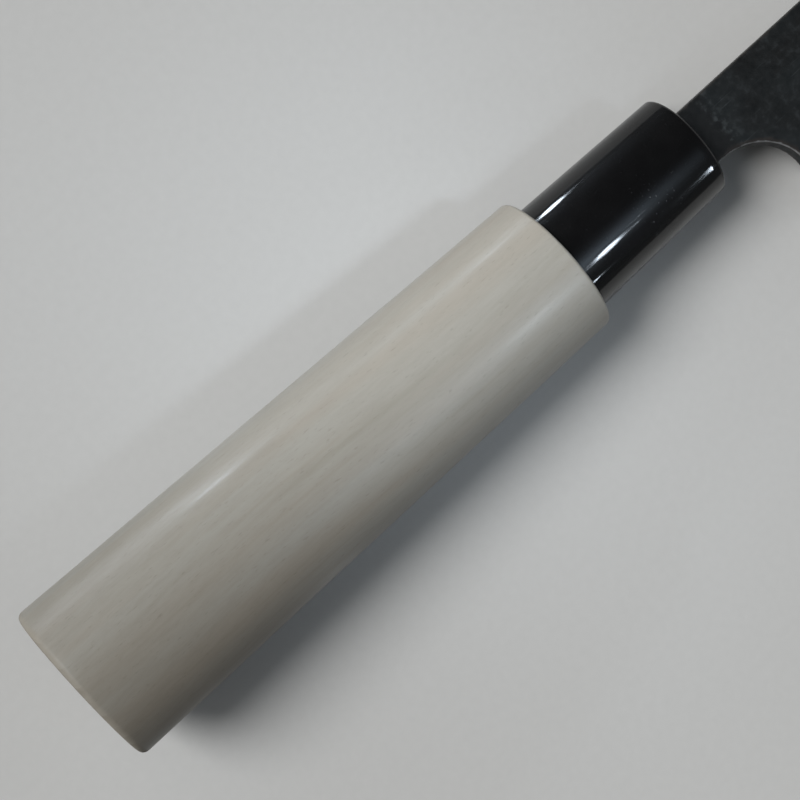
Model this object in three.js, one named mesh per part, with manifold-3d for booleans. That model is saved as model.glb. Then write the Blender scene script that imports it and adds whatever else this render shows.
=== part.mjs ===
// A sabaki knife: laminated carbon steel blade, black ferrule and oval magnolia-wood handle.
// Millimetres. +X runs from the butt to the tip, +Y to the spine and +Z out of the blade's right face.
// The origin lies on the butt's end face, on the axis of the ferrule.
import * as THREE from 'three';
import { mergeVertices } from 'three/addons/utils/BufferGeometryUtils.js';
import Module from 'manifold-3d';

const wasm = await Module();
wasm.setup();

// Wooden handle: an oval whose underside runs parallel to the axis, so the back alone tapers
const WOOD_LENGTH = 94;
const BUTT_HEIGHT = 27;
const BUTT_THICKNESS = 21.4;
const BUTT_EDGE_RADIUS = 0.6;
const FRONT_HEIGHT = 24;
const FRONT_THICKNESS = 19.1;
const FRONT_EDGE_RADIUS = 1;

// Ferrule: a moulded oval cap, a step narrower than the wood behind it
const FERRULE_LENGTH = 28;
const FERRULE_REAR_HEIGHT = 19.2;
const FERRULE_REAR_THICKNESS = 15.3;
const FERRULE_FRONT_HEIGHT = 18;
const FERRULE_FRONT_THICKNESS = 14.4;
const FERRULE_EDGE_RADIUS = 1.3;
const FERRULE_WALL = 1.9;
const FERRULE_FRONT_WALL = 4;

// Fits between the pieces
const TENON_CLEARANCE = 0.3;
const TENON_END_GAP = 1.6;
const TENON_CHAMFER = 0.6;
const TANG_CLEARANCE = 0.3;

// Blade profile
const NECK_HEIGHT = 9.9;
const NECK_DROP = 0.4;
const NECK_LENGTH = 12.6;
const CHIN_RADIUS = 10;
const BLADE_LENGTH = 138;
const HEEL_HEIGHT = 40;
const TIP_DROP = 14;
const SPINE_CURVE_LENGTH = 66;
const SPINE_CURVE_PULL = 32;
const EDGE_HEEL_PULL = 70;
const EDGE_TIP_PULL = 40;
const EDGE_TIP_RISE = 7;

// Blade section: flat sides, one long bevel a side and a fine sharpened bevel
const NECK_THICKNESS = 3.4;
const TIP_THICKNESS = 1.4;
const CORE_THICKNESS = 1;
const BEVEL_WIDTH = 14;
const SHARPENED_WIDTH = 0.9;
const SHARPENED_THICKNESS = 0.5;
const EDGE_THICKNESS = 0.16;

// Tang
const TANG_LENGTH = 80;
const TANG_ROOT_HEIGHT = 7.6;
const TANG_END_HEIGHT = 4.6;
const TANG_END_THICKNESS = 2.4;
const TANG_SHOULDER_LENGTH = 1.2;
const TANG_END_CHAMFER = 1.5;

// Fineness of the facets
const OVAL_SIDES = 72;
const ROUNDING_STEPS = 6;
const CURVE_STEPS = 36;

// How far a cutting solid reaches past what it cuts
const CUT_MARGIN = 2;

// Places worked out from the sizes
const ferruleFrontX = WOOD_LENGTH + FERRULE_LENGTH;
const chinX = ferruleFrontX + NECK_LENGTH;
const tipX = chinX + BLADE_LENGTH;
const tangEndX = ferruleFrontX - TANG_LENGTH;
const shoulderFrontX = ferruleFrontX - FERRULE_FRONT_WALL;
const shoulderRearX = shoulderFrontX - TANG_SHOULDER_LENGTH;
const tenonEndX = shoulderFrontX - TENON_END_GAP;
const spineY = NECK_HEIGHT / 2 - NECK_DROP;
const neckBottomY = spineY - NECK_HEIGHT;
const heelY = spineY - HEEL_HEIGHT;
const tipY = spineY - TIP_DROP;
const buttCentreY = (BUTT_HEIGHT - FRONT_HEIGHT) / 2;
const boreHeight = FERRULE_FRONT_HEIGHT - 2 * FERRULE_WALL;
const boreThickness = FERRULE_FRONT_THICKNESS - 2 * FERRULE_WALL;

// A closed skin through rings of points, listed from -X to +X and each running from +Y to +Z
function loft(rings) {
  const count = rings[0].length;
  const positions = rings.flat().flatMap((point) => point.toArray());
  const index = [];
  for (let ring = 0; ring + 1 < rings.length; ring += 1) {
    for (let side = 0; side < count; side += 1) {
      const here = ring * count + side;
      const beside = ring * count + ((side + 1) % count);
      index.push(here, beside, here + count, beside, beside + count, here + count);
    }
  }
  const last = (rings.length - 1) * count;
  for (let side = 1; side + 1 < count; side += 1) {
    index.push(0, side + 1, side);
    index.push(last, last + side, last + side + 1);
  }
  const geometry = new THREE.BufferGeometry();
  geometry.setAttribute('position', new THREE.Float32BufferAttribute(positions, 3));
  geometry.setIndex(index);
  return geometry;
}

// A ring in the plane at x, from points given as (y, z)
function ringAt(x, points) {
  return points.map((point) => new THREE.Vector3(x, point.x, point.y));
}

function ovalRing(x, centreY, height, thickness) {
  const oval = new THREE.EllipseCurve(centreY, 0, height / 2, thickness / 2);
  return ringAt(x, oval.getPoints(OVAL_SIDES).slice(0, OVAL_SIDES));
}

function boxRing(x, centreY, height, thickness) {
  const halfHeight = height / 2;
  const halfThickness = thickness / 2;
  return ringAt(x, [
    new THREE.Vector2(centreY + halfHeight, halfThickness),
    new THREE.Vector2(centreY - halfHeight, halfThickness),
    new THREE.Vector2(centreY - halfHeight, -halfThickness),
    new THREE.Vector2(centreY + halfHeight, -halfThickness),
  ]);
}

// Steps round a quarter circle: how far along the axis, and how far in from the full section
function roundedEdge(radius) {
  return Array.from({ length: ROUNDING_STEPS + 1 }, (_, step) => {
    const angle = (step / ROUNDING_STEPS) * (Math.PI / 2);
    return { along: radius * (1 - Math.cos(angle)), inset: radius * (1 - Math.sin(angle)) };
  });
}

function toSolid(geometry) {
  const bare = geometry.clone();
  bare.deleteAttribute('normal');
  bare.deleteAttribute('uv');
  const merged = mergeVertices(bare);
  return new wasm.Manifold(new wasm.Mesh({
    numProp: 3,
    vertProperties: new Float32Array(merged.attributes.position.array),
    triVerts: new Uint32Array(merged.index.array),
  }));
}

function toGeometry(solid) {
  const mesh = solid.getMesh();
  const geometry = new THREE.BufferGeometry();
  geometry.setAttribute('position', new THREE.Float32BufferAttribute(mesh.vertProperties, 3));
  geometry.setIndex(Array.from(mesh.triVerts));
  geometry.computeVertexNormals();
  return geometry;
}

// Thickness of the blade and tang along the axis: both thin away from the neck
function thicknessAt(x) {
  if (x < ferruleFrontX) {
    const share = (ferruleFrontX - x) / TANG_LENGTH;
    return THREE.MathUtils.lerp(NECK_THICKNESS, TANG_END_THICKNESS, share);
  }
  const share = (x - ferruleFrontX) / (tipX - ferruleFrontX);
  return THREE.MathUtils.lerp(NECK_THICKNESS, TIP_THICKNESS, share);
}

function tangHeightAt(x) {
  const share = (shoulderRearX - x) / (shoulderRearX - tangEndX);
  return THREE.MathUtils.lerp(TANG_ROOT_HEIGHT, TANG_END_HEIGHT, share);
}

// Handle: one loft from the butt over its rounded edges to the shoulder and the tenon, less the tang's socket
function handleGeometry() {
  const sectionAt = (x, inset) => {
    const share = x / WOOD_LENGTH;
    const centreY = THREE.MathUtils.lerp(buttCentreY, 0, share);
    const height = THREE.MathUtils.lerp(BUTT_HEIGHT, FRONT_HEIGHT, share);
    const thickness = THREE.MathUtils.lerp(BUTT_THICKNESS, FRONT_THICKNESS, share);
    return ovalRing(x, centreY, height - 2 * inset, thickness - 2 * inset);
  };
  const tenonHeight = boreHeight - 2 * TENON_CLEARANCE;
  const tenonThickness = boreThickness - 2 * TENON_CLEARANCE;
  const rings = [
    ...roundedEdge(BUTT_EDGE_RADIUS).map(({ along, inset }) => sectionAt(along, inset)),
    ...roundedEdge(FRONT_EDGE_RADIUS).reverse()
      .map(({ along, inset }) => sectionAt(WOOD_LENGTH - along, inset)),
    ovalRing(WOOD_LENGTH, 0, tenonHeight, tenonThickness),
    ovalRing(tenonEndX - TENON_CHAMFER, 0, tenonHeight, tenonThickness),
    ovalRing(tenonEndX, 0, tenonHeight - 2 * TENON_CHAMFER, tenonThickness - 2 * TENON_CHAMFER),
  ];
  const socketRing = (x) => boxRing(
    x, -NECK_DROP, tangHeightAt(x) + 2 * TANG_CLEARANCE, thicknessAt(x) + 2 * TANG_CLEARANCE,
  );
  const socket = loft([socketRing(tangEndX - TANG_CLEARANCE), socketRing(tenonEndX + CUT_MARGIN)]);
  return toGeometry(toSolid(loft(rings)).subtract(toSolid(socket)));
}

// Ferrule: a tapering oval cap with a rounded front, bored for the tenon and slotted for the neck
function ferruleGeometry() {
  const sectionAt = (x, inset) => {
    const share = (x - WOOD_LENGTH) / FERRULE_LENGTH;
    const height = THREE.MathUtils.lerp(FERRULE_REAR_HEIGHT, FERRULE_FRONT_HEIGHT, share);
    const thickness = THREE.MathUtils.lerp(FERRULE_REAR_THICKNESS, FERRULE_FRONT_THICKNESS, share);
    return ovalRing(x, 0, height - 2 * inset, thickness - 2 * inset);
  };
  const outside = loft([
    sectionAt(WOOD_LENGTH, 0),
    ...roundedEdge(FERRULE_EDGE_RADIUS).reverse()
      .map(({ along, inset }) => sectionAt(ferruleFrontX - along, inset)),
  ]);
  const bore = loft([WOOD_LENGTH - CUT_MARGIN, shoulderFrontX]
    .map((x) => ovalRing(x, 0, boreHeight, boreThickness)));
  const slot = loft([shoulderFrontX - CUT_MARGIN, ferruleFrontX + CUT_MARGIN]
    .map((x) => boxRing(x, -NECK_DROP, NECK_HEIGHT + 2 * TANG_CLEARANCE, NECK_THICKNESS + 2 * TANG_CLEARANCE)));
  return toGeometry(toSolid(outside).subtract(toSolid(bore)).subtract(toSolid(slot)));
}

// The ground bar that the blade is cut from: flat sides, long bevels and sharpened edge, with no outline yet
function groundBar() {
  const edge = new THREE.CubicBezierCurve(
    new THREE.Vector2(chinX, heelY),
    new THREE.Vector2(chinX + EDGE_HEEL_PULL, heelY),
    new THREE.Vector2(tipX - EDGE_TIP_PULL, heelY + EDGE_TIP_RISE),
    new THREE.Vector2(tipX, tipY),
  );
  const sectionAt = (x, edgeY, slope) => {
    const lean = Math.hypot(1, slope);
    const half = thicknessAt(x) / 2;
    const sharpenedY = edgeY + SHARPENED_WIDTH * lean;
    const bevelY = edgeY + BEVEL_WIDTH * lean;
    const topY = Math.max(spineY, tipY + BEVEL_WIDTH * lean) + CUT_MARGIN;
    const right = [
      new THREE.Vector2(topY, half),
      new THREE.Vector2(bevelY, half),
      new THREE.Vector2(sharpenedY, SHARPENED_THICKNESS / 2),
      new THREE.Vector2(edgeY, EDGE_THICKNESS / 2),
    ];
    const left = right.map((point) => new THREE.Vector2(point.x, -point.y)).reverse();
    return ringAt(x, [...right, ...left]);
  };
  const rings = [tangEndX - CUT_MARGIN, ferruleFrontX].map((x) => sectionAt(x, heelY, 0));
  for (let step = 0; step <= CURVE_STEPS; step += 1) {
    const point = edge.getPoint(step / CURVE_STEPS);
    const tangent = edge.getTangent(step / CURVE_STEPS);
    rings.push(sectionAt(point.x, point.y, tangent.y / tangent.x));
  }
  const tipTangent = edge.getTangent(1);
  const tipSlope = tipTangent.y / tipTangent.x;
  rings.push(sectionAt(tipX + CUT_MARGIN, tipY + CUT_MARGIN * tipSlope, tipSlope));
  return loft(rings);
}

// The blade's outline seen on its right face, open below the cutting edge, which the bar's bevels make
function outlineShape() {
  const rootHalf = TANG_ROOT_HEIGHT / 2;
  const endHalf = TANG_END_HEIGHT / 2;
  const belowY = heelY - CUT_MARGIN;
  const tipSlope = -TIP_DROP / SPINE_CURVE_PULL;
  const pastTipX = tipX + CUT_MARGIN;
  const shape = new THREE.Shape();
  shape.moveTo(tangEndX, -NECK_DROP - endHalf + TANG_END_CHAMFER);
  shape.lineTo(tangEndX + TANG_END_CHAMFER, -NECK_DROP - endHalf);
  shape.lineTo(shoulderRearX, -NECK_DROP - rootHalf);
  shape.lineTo(shoulderFrontX, neckBottomY);
  shape.absarc(chinX - CHIN_RADIUS, neckBottomY - CHIN_RADIUS, CHIN_RADIUS, Math.PI / 2, 0, true);
  shape.lineTo(chinX, belowY);
  shape.lineTo(pastTipX, belowY);
  shape.lineTo(pastTipX, tipY + CUT_MARGIN * tipSlope);
  shape.lineTo(tipX, tipY);
  shape.quadraticCurveTo(tipX - SPINE_CURVE_PULL, spineY, tipX - SPINE_CURVE_LENGTH, spineY);
  shape.lineTo(shoulderFrontX, spineY);
  shape.lineTo(shoulderRearX, -NECK_DROP + rootHalf);
  shape.lineTo(tangEndX + TANG_END_CHAMFER, -NECK_DROP + endHalf);
  shape.lineTo(tangEndX, -NECK_DROP + endHalf - TANG_END_CHAMFER);
  return shape;
}

// The forged blade in one piece: the ground bar cut to its outline
function bladeSolid() {
  const depth = NECK_THICKNESS + 2 * CUT_MARGIN;
  const outline = new THREE.ExtrudeGeometry(outlineShape(), {
    depth,
    bevelEnabled: false,
    curveSegments: CURVE_STEPS,
  });
  outline.translate(0, 0, -depth / 2);
  return toSolid(groundBar()).intersect(toSolid(outline));
}

// One layer of the blade: what lies between two planes parallel to its faces
function bladeLayer(blade, lowZ, highZ) {
  const length = tipX - tangEndX + 2 * CUT_MARGIN;
  const height = HEEL_HEIGHT + 2 * CUT_MARGIN;
  const slab = new THREE.BoxGeometry(length, height, highZ - lowZ);
  slab.translate((tangEndX + tipX) / 2, spineY - HEEL_HEIGHT / 2, (lowZ + highZ) / 2);
  return toGeometry(blade.intersect(toSolid(slab)));
}

function piece(name, geometry, material) {
  const mesh = new THREE.Mesh(geometry, material);
  mesh.name = name;
  return mesh;
}

const magnolia = new THREE.MeshStandardMaterial({ color: 0xc6c1b4, roughness: 0.5, metalness: 0 });
const blackPlastic = new THREE.MeshStandardMaterial({ color: 0x0c0c0d, roughness: 0.18, metalness: 0 });
const hardSteel = new THREE.MeshStandardMaterial({ color: 0xb4b7ba, roughness: 0.25, metalness: 1 });
const scaledIron = new THREE.MeshStandardMaterial({ color: 0x34373c, roughness: 0.6, metalness: 0.6 });

const blade = bladeSolid();
const coreZ = CORE_THICKNESS / 2;
const outsideZ = NECK_THICKNESS / 2 + CUT_MARGIN;

const knife = new THREE.Group();
knife.add(piece('handle', handleGeometry(), magnolia));
knife.add(piece('ferrule', ferruleGeometry(), blackPlastic));
knife.add(piece('blade_core', bladeLayer(blade, -coreZ, coreZ), hardSteel));
knife.add(piece('blade_cladding_right', bladeLayer(blade, coreZ, outsideZ), scaledIron));
knife.add(piece('blade_cladding_left', bladeLayer(blade, -outsideZ, -coreZ), scaledIron.clone()));

export default knife;
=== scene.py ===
# %% [markdown]
# # Dressing a sabaki knife
# A sabaki is a small Japanese knife for boning and for fish. This one has a laminated blade that keeps its
# black forge scale, a glossy black ferrule and an oval handle of pale ho wood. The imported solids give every
# size and place. This lesson replaces each solid by a finer piece of the same size, with the softened edges,
# uneven forged faces and surface finishes that a photograph shows.

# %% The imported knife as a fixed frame
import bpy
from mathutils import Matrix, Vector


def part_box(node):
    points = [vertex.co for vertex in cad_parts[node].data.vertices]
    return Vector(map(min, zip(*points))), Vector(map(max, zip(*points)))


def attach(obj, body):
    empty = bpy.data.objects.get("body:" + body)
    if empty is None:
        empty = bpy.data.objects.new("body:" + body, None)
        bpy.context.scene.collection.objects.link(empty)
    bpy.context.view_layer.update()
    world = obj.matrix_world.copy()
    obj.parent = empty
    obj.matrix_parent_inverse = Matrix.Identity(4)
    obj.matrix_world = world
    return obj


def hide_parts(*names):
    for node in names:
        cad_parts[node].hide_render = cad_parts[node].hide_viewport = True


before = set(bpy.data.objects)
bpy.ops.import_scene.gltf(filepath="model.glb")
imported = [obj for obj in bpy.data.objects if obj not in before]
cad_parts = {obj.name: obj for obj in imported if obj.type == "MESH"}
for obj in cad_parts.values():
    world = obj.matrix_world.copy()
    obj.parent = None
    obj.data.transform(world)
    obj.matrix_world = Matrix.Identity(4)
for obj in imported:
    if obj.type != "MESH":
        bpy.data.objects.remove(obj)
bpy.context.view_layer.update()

import bpy
import numpy as np
from mathutils import Matrix, Vector, kdtree, noise
from mathutils.geometry import delaunay_2d_cdt

MM = 0.001

# %% [markdown]
# ## The camera
# The photograph looks down on the right side of the knife from 254 mm above it, with the handle running from
# the lower left to the upper right. The blade leaves the frame after its first 20 mm. The stand, the turn and
# the lens were worked out by fitting the rims of the handle, so they are kept as plain numbers.

# %% Camera at the photograph's place
IMAGE_SIDE = 800
FOCAL_PIXELS = 1736.5
SENSOR_WIDTH = 36.0
NEAREST_SEEN = 0.01
camera_stand = Vector((19.85, 16.49, 254.30)) * MM
LOOK_TO_TIP = np.radians(9.424)
LOOK_TO_SPINE = np.radians(-3.497)
CAMERA_ROLL = np.radians(42.492)

look = Vector((np.sin(LOOK_TO_TIP), np.sin(LOOK_TO_SPINE), 0.0))
look.z = -np.sqrt(1 - look.length_squared)
level = Vector((1, 0, 0))
level = (level - look * level.dot(look)).normalized()
upright = (-look).cross(level)
image_right = level * np.cos(CAMERA_ROLL) - upright * np.sin(CAMERA_ROLL)
image_up = level * np.sin(CAMERA_ROLL) + upright * np.cos(CAMERA_ROLL)

camera_data = bpy.data.cameras.new("photo_camera")
camera_data.sensor_width = SENSOR_WIDTH
camera_data.lens = FOCAL_PIXELS / IMAGE_SIDE * SENSOR_WIDTH
camera_data.clip_start = NEAREST_SEEN
camera = bpy.data.objects.new("photo_camera", camera_data)
camera.matrix_world = Matrix.LocRotScale(
    camera_stand, Matrix((image_right, image_up, -look)).transposed(), None)
bpy.context.scene.collection.objects.link(camera)
bpy.context.scene.camera = camera
print(f"camera lens {camera_data.lens:.1f} mm, looking along {look[:]}")

# %% [markdown]
# ## Sizes
# A piece that stands in for a solid keeps that solid's sizes, so the same lengths are named here again, in
# millimetres. X runs from the butt to the tip, Y to the spine and Z out of the blade's right face.

# %% Handle and ferrule sizes
WOOD_LENGTH = 94.0
BUTT_HEIGHT, BUTT_THICKNESS = 27.0, 21.4
FRONT_HEIGHT, FRONT_THICKNESS = 24.0, 19.1
BUTT_EASE_LENGTH, BUTT_EASE_DEPTH = 1.1, 0.9
FRONT_EDGE_RADIUS = 0.6
BUTT_TOP_Y, FRONT_TOP_Y = 15.0, 12.0
FERRULE_FRONT_X = 122.0
FERRULE_REAR_HEIGHT, FERRULE_REAR_THICKNESS = 19.2, 15.3
FERRULE_FRONT_HEIGHT, FERRULE_FRONT_THICKNESS = 18.0, 14.4
FERRULE_EDGE_RADIUS = 0.6
FERRULE_FRONT_WALL = 4.0
BORE_HEIGHT, BORE_THICKNESS = 14.2, 10.6
TENON_HEIGHT, TENON_THICKNESS = 13.6, 10.0
TENON_END_X = 116.4
TENON_CHAMFER = 0.6
NECK_CENTRE_Y = -0.4
SLOT_HEIGHT, SLOT_THICKNESS = 10.5, 4.0
wood_low, wood_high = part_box("handle")
print("handle solid in mm:", [round(v / MM, 1) for v in (*wood_low, *wood_high)])

# %% Blade sizes
NECK_HEIGHT = 9.9
SPINE_Y = 4.55
NECK_BOTTOM_Y = SPINE_Y - NECK_HEIGHT
CHIN_X, CHIN_LENGTH, CHIN_DEPTH = 134.6, 10.0, 8.7
HEEL_Y = -35.45
TIP_X, TIP_Y = 272.6, -9.45
SPINE_CURVE_LENGTH, SPINE_CURVE_PULL = 66.0, 32.0
EDGE_HEEL_PULL, EDGE_TIP_PULL, EDGE_TIP_RISE = 70.0, 40.0, 7.0
NECK_THICKNESS, TIP_THICKNESS = 3.4, 1.4
CORE_HALF = 0.5
BEVEL_WIDTH = 14.0
SHARPENED_WIDTH, SHARPENED_HALF = 0.9, 0.25
CUTTING_EDGE_HALF = 0.02
TANG_END_X, TANG_END_HALF_HEIGHT, TANG_END_THICKNESS = 42.0, 2.3, 2.4
TANG_ROOT_HALF_HEIGHT = 3.8
SHOULDER_REAR_X, SHOULDER_FRONT_X = 116.8, 118.0
TANG_END_CHAMFER = 1.5
core_low, core_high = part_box("blade_core")
print("core solid in mm:", [round(v / MM, 1) for v in (*core_low, *core_high)])

# %% [markdown]
# ## Floor and light
# A knife put down on its side touches the table with the front of its wood and with its tip, because the
# handle is thicker than the blade. The frame keeps the knife level, so the floor leans by that angle instead.
# A real studio would use a large soft box behind the butt for the body of the light, and small lamps with
# grids that only draw the highlights: four on the spine's side and four on the edge's side. Two pale walls
# and the glow behind the edge lamp are there for the polished faces to mirror. All of it adds up to a plain
# level, at which a white card on the floor would come out near white.

# %% One function that adds a node with its settings and links
def add_node(tree, kind, values=None, links=None, **settings):
    node = tree.nodes.new(kind)
    for name, setting in settings.items():
        setattr(node, name, setting)
    for socket, value in (values or {}).items():
        node.inputs[socket].default_value = value
    for socket, source in (links or {}).items():
        tree.links.new(source, node.inputs[socket])
    return node


# %% One function that turns an sRGB hex colour to linear
def linear(hex_colour):
    srgb = np.array([int(hex_colour[place:place + 2], 16) for place in (1, 3, 5)]) / 255
    channels = np.where(srgb <= 0.04045, srgb / 12.92, ((srgb + 0.055) / 1.055) ** 2.4)
    return (*channels.tolist(), 1.0)


print("mid grey #808080 in linear:", linear("#808080"))

# %% Numbers of the mix node's colour sockets, because the node has other sockets of the same names
MIX_FACTOR, MIX_A, MIX_B, MIX_COLOUR = 0, 6, 7, 2

# %% Pale paper floor that leans under the knife
FLOOR_SIDE = 40.0
REST_WOOD_X, REST_WOOD_Z = 93.0, -9.57
REST_TIP_Z = -0.1
PAPER_CLOUD = 1.5

floor_lean = np.arctan2(REST_TIP_Z - REST_WOOD_Z, TIP_X - REST_WOOD_X)
floor_mesh = bpy.data.meshes.new("floor")
half_floor = FLOOR_SIDE / 2
floor_mesh.from_pydata(
    [(-half_floor, -half_floor, 0), (half_floor, -half_floor, 0), (half_floor, half_floor, 0),
     (-half_floor, half_floor, 0)], [], [(0, 1, 2, 3)])
floor = bpy.data.objects.new("floor", floor_mesh)
floor.matrix_world = Matrix.LocRotScale(
    Vector((REST_WOOD_X, 0, REST_WOOD_Z)) * MM, Matrix.Rotation(-floor_lean, 3, "Y"), None)
bpy.context.scene.collection.objects.link(floor)

paper = bpy.data.materials.new("pale_matt_paper")
paper.use_nodes = True
paper_tree = paper.node_tree
paper_place = add_node(paper_tree, "ShaderNodeTexCoord")
paper_clouds = add_node(
    paper_tree, "ShaderNodeTexNoise", {"Scale": 1 / (PAPER_CLOUD * MM), "Detail": 2.0},
    {"Vector": paper_place.outputs["Object"]})
paper_tone = add_node(
    paper_tree, "ShaderNodeMix", {MIX_A: linear("#cbcbc9"), MIX_B: linear("#d0d0ce")},
    {MIX_FACTOR: paper_clouds.outputs["Fac"]}, data_type="RGBA")
# Light that bounces up sees a darker paper, so that the floor doesn't fill the knife's shaded side
ray = add_node(paper_tree, "ShaderNodeLightPath")
seen_or_mirrored = add_node(
    paper_tree, "ShaderNodeMath", None,
    {0: ray.outputs["Is Camera Ray"], 1: ray.outputs["Is Glossy Ray"]}, operation="ADD")
seen = add_node(
    paper_tree, "ShaderNodeMath", None,
    {0: seen_or_mirrored.outputs[0], 1: ray.outputs["Is Transmission Ray"]}, operation="ADD", use_clamp=True)
paper_colour = add_node(
    paper_tree, "ShaderNodeMix", {MIX_A: linear("#464645")},
    {MIX_FACTOR: seen.outputs[0], MIX_B: paper_tone.outputs[MIX_COLOUR]}, data_type="RGBA")
paper_shader = paper_tree.nodes["Principled BSDF"]
paper_shader.inputs["Roughness"].default_value = 0.9
paper_tree.links.new(paper_colour.outputs[MIX_COLOUR], paper_shader.inputs["Base Color"])
floor_mesh.materials.append(paper)
print(f"floor leans {np.degrees(floor_lean):.2f} degrees")

# %% A large soft light far behind the butt
KEY_LEVEL = 0.76
KEY_SPREAD = np.radians(30)

key_data = bpy.data.lights.new("butt_side_light", "SUN")
key_data.energy = np.pi * KEY_LEVEL
key_data.angle = KEY_SPREAD
key = bpy.data.objects.new("butt_side_light", key_data)
key_place = Vector((-0.50, 0.50, 0.71))
key.matrix_world = Matrix.LocRotScale(key_place, (-key_place).to_track_quat("-Z", "Y"), None)
bpy.context.scene.collection.objects.link(key)
print(f"soft light {np.degrees(KEY_SPREAD):.0f} degrees wide from {key_place[:]}")

# %% Small lamps with grids, each set where the surface at one place mirrors it to the camera
LAMP_REACH = 0.6
GRID = np.radians(10)
LAMP_COLOUR = "#dce9f6"
MILLIWATT = 0.001


def gridded_lamp(name, mirrored_at, towards, size, milliwatts):
    spot = Vector(mirrored_at) * MM
    away = Vector(towards).normalized()
    place = spot + LAMP_REACH * away
    lamp_right = (Vector((1, 0, 0)) - away * away.x).normalized()
    turn = Matrix((lamp_right, away.cross(lamp_right), away)).transposed()
    lamp_data = bpy.data.lights.new(name, "AREA")
    lamp_data.shape = "ELLIPSE"
    lamp_data.size, lamp_data.size_y = size
    lamp_data.spread = GRID
    lamp_data.energy = MILLIWATT * milliwatts
    lamp_data.color = linear(LAMP_COLOUR)[:3]
    lamp = bpy.data.objects.new(name, lamp_data)
    lamp.matrix_world = Matrix.LocRotScale(place, turn, None)
    bpy.context.scene.collection.objects.link(lamp)
    print(f"{name}: {milliwatts} mW from {LAMP_REACH} m away")


gridded_lamp("spine_lamp", (97.7, 7.0, 5.2), (0.326, 0.929, 0.176), (0.014, 0.10), 0.70)
gridded_lamp("butt_lamp", (37, 9.4, 7.3), (0.068, 0.97, 0.25), (0.018, 0.05), 0.55)
gridded_lamp("sheen_lamp", (20, 11.3, 6.8), (0.0, 0.995, 0.08), (0.05, 0.04), 3.0)
gridded_lamp("edge_lamp", (99.4, -3.2, 7.1), (0.335, -0.558, 0.759), (0.014, 0.075), 0.50)
gridded_lamp("low_edge_lamp", (95.0, -5.4, 6.3), (0.317, -0.843, 0.434), (0.003, 0.03), 0.03)
gridded_lamp("wood_lamp", (84, 8.4, 6.9), (0.29, 0.885, 0.36), (0.020, 0.06), 1.5)
gridded_lamp("front_lamp", (121.2, -4.9, 6.05), (0.406, -0.795, 0.452), (0.008, 0.20), 1.0)
gridded_lamp("wood_edge_lamp", (76.0, -3.6, 9.2), (0.255, -0.50, 0.828), (0.06, 0.09), 3.3)

# %% The room: dim all round, a little lighter near the floor
LOW_HEIGHT, CEILING_HEIGHT = 0.05, 0.4
LOW_LEVEL, CEILING_LEVEL = 0.07, 0.05

room = bpy.data.worlds.new("studio_room")
room.use_nodes = True
room_tree = room.node_tree
room_direction = add_node(room_tree, "ShaderNodeTexCoord").outputs["Generated"]
room_height = add_node(room_tree, "ShaderNodeSeparateXYZ", None, {"Vector": room_direction})
room_level = add_node(
    room_tree, "ShaderNodeMapRange",
    {"From Min": LOW_HEIGHT, "From Max": CEILING_HEIGHT, "To Min": LOW_LEVEL, "To Max": CEILING_LEVEL},
    {"Value": room_height.outputs["Z"]}, interpolation_type="SMOOTHSTEP")
print("room level:", LOW_LEVEL, "near the floor and", CEILING_LEVEL, "overhead")

# %% The glow on the wall behind the edge lamp
GLOW_TOWARDS = (0.332, -0.44, 0.835)
GLOW_REACH = (0.14, 0.45, 0.45)
GLOW_LEVEL, GLOW_FADE = 2.0, 3.0

from_glow = add_node(
    room_tree, "ShaderNodeVectorMath", {1: GLOW_TOWARDS}, {0: room_direction}, operation="SUBTRACT")
glow_gap = add_node(
    room_tree, "ShaderNodeVectorMath", {1: GLOW_REACH}, {0: from_glow.outputs["Vector"]}, operation="DIVIDE")
glow_distance = add_node(
    room_tree, "ShaderNodeVectorMath", None, {0: glow_gap.outputs["Vector"]}, operation="LENGTH")
glow_share = add_node(
    room_tree, "ShaderNodeMapRange", {"From Min": 1.0, "From Max": 0.0},
    {"Value": glow_distance.outputs["Value"]})
glow_faded = add_node(
    room_tree, "ShaderNodeMath", {1: GLOW_FADE}, {0: glow_share.outputs["Result"]}, operation="POWER")
glow_level = add_node(
    room_tree, "ShaderNodeMath", {1: GLOW_LEVEL}, {0: glow_faded.outputs[0]}, operation="MULTIPLY")
glow = add_node(
    room_tree, "ShaderNodeBackground", {"Color": linear("#c8dcee")}, {"Strength": glow_level.outputs[0]})
print("glow level", GLOW_LEVEL, "in its middle")

# %% Two pale walls that the bevels mirror, behind the butt on the spine's side and past the tip
# Each wall has its direction, the cosine of the angle to its rim and its level
PALE_WALLS = (((-0.62, 0.66, 0.42), 0.60, 0.55), ((0.95, -0.20, 0.24), 0.76, 0.45))
WALL_MIDDLE = 0.95

room_total = room_level.outputs["Result"]
for wall_towards, wall_rim, wall_level in PALE_WALLS:
    towards_wall = add_node(
        room_tree, "ShaderNodeVectorMath", {1: wall_towards}, {0: room_direction}, operation="DOT_PRODUCT")
    wall_share = add_node(
        room_tree, "ShaderNodeMapRange",
        {"From Min": wall_rim, "From Max": WALL_MIDDLE, "To Max": wall_level},
        {"Value": towards_wall.outputs["Value"]}, interpolation_type="SMOOTHSTEP")
    room_total = add_node(
        room_tree, "ShaderNodeMath", None, {0: room_total, 1: wall_share.outputs["Result"]},
        operation="ADD").outputs[0]
room_light = room_tree.nodes["Background"]
room_light.inputs["Color"].default_value = linear("#f6f7f8")
room_tree.links.new(room_total, room_light.inputs["Strength"])
room_and_glow = add_node(
    room_tree, "ShaderNodeAddShader", None,
    {0: room_light.outputs["Background"], 1: glow.outputs["Background"]})
room_tree.links.new(room_and_glow.outputs["Shader"], room_tree.nodes["World Output"].inputs["Surface"])
bpy.context.scene.world = room
bpy.context.scene.view_settings.view_transform = "Standard"

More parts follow.
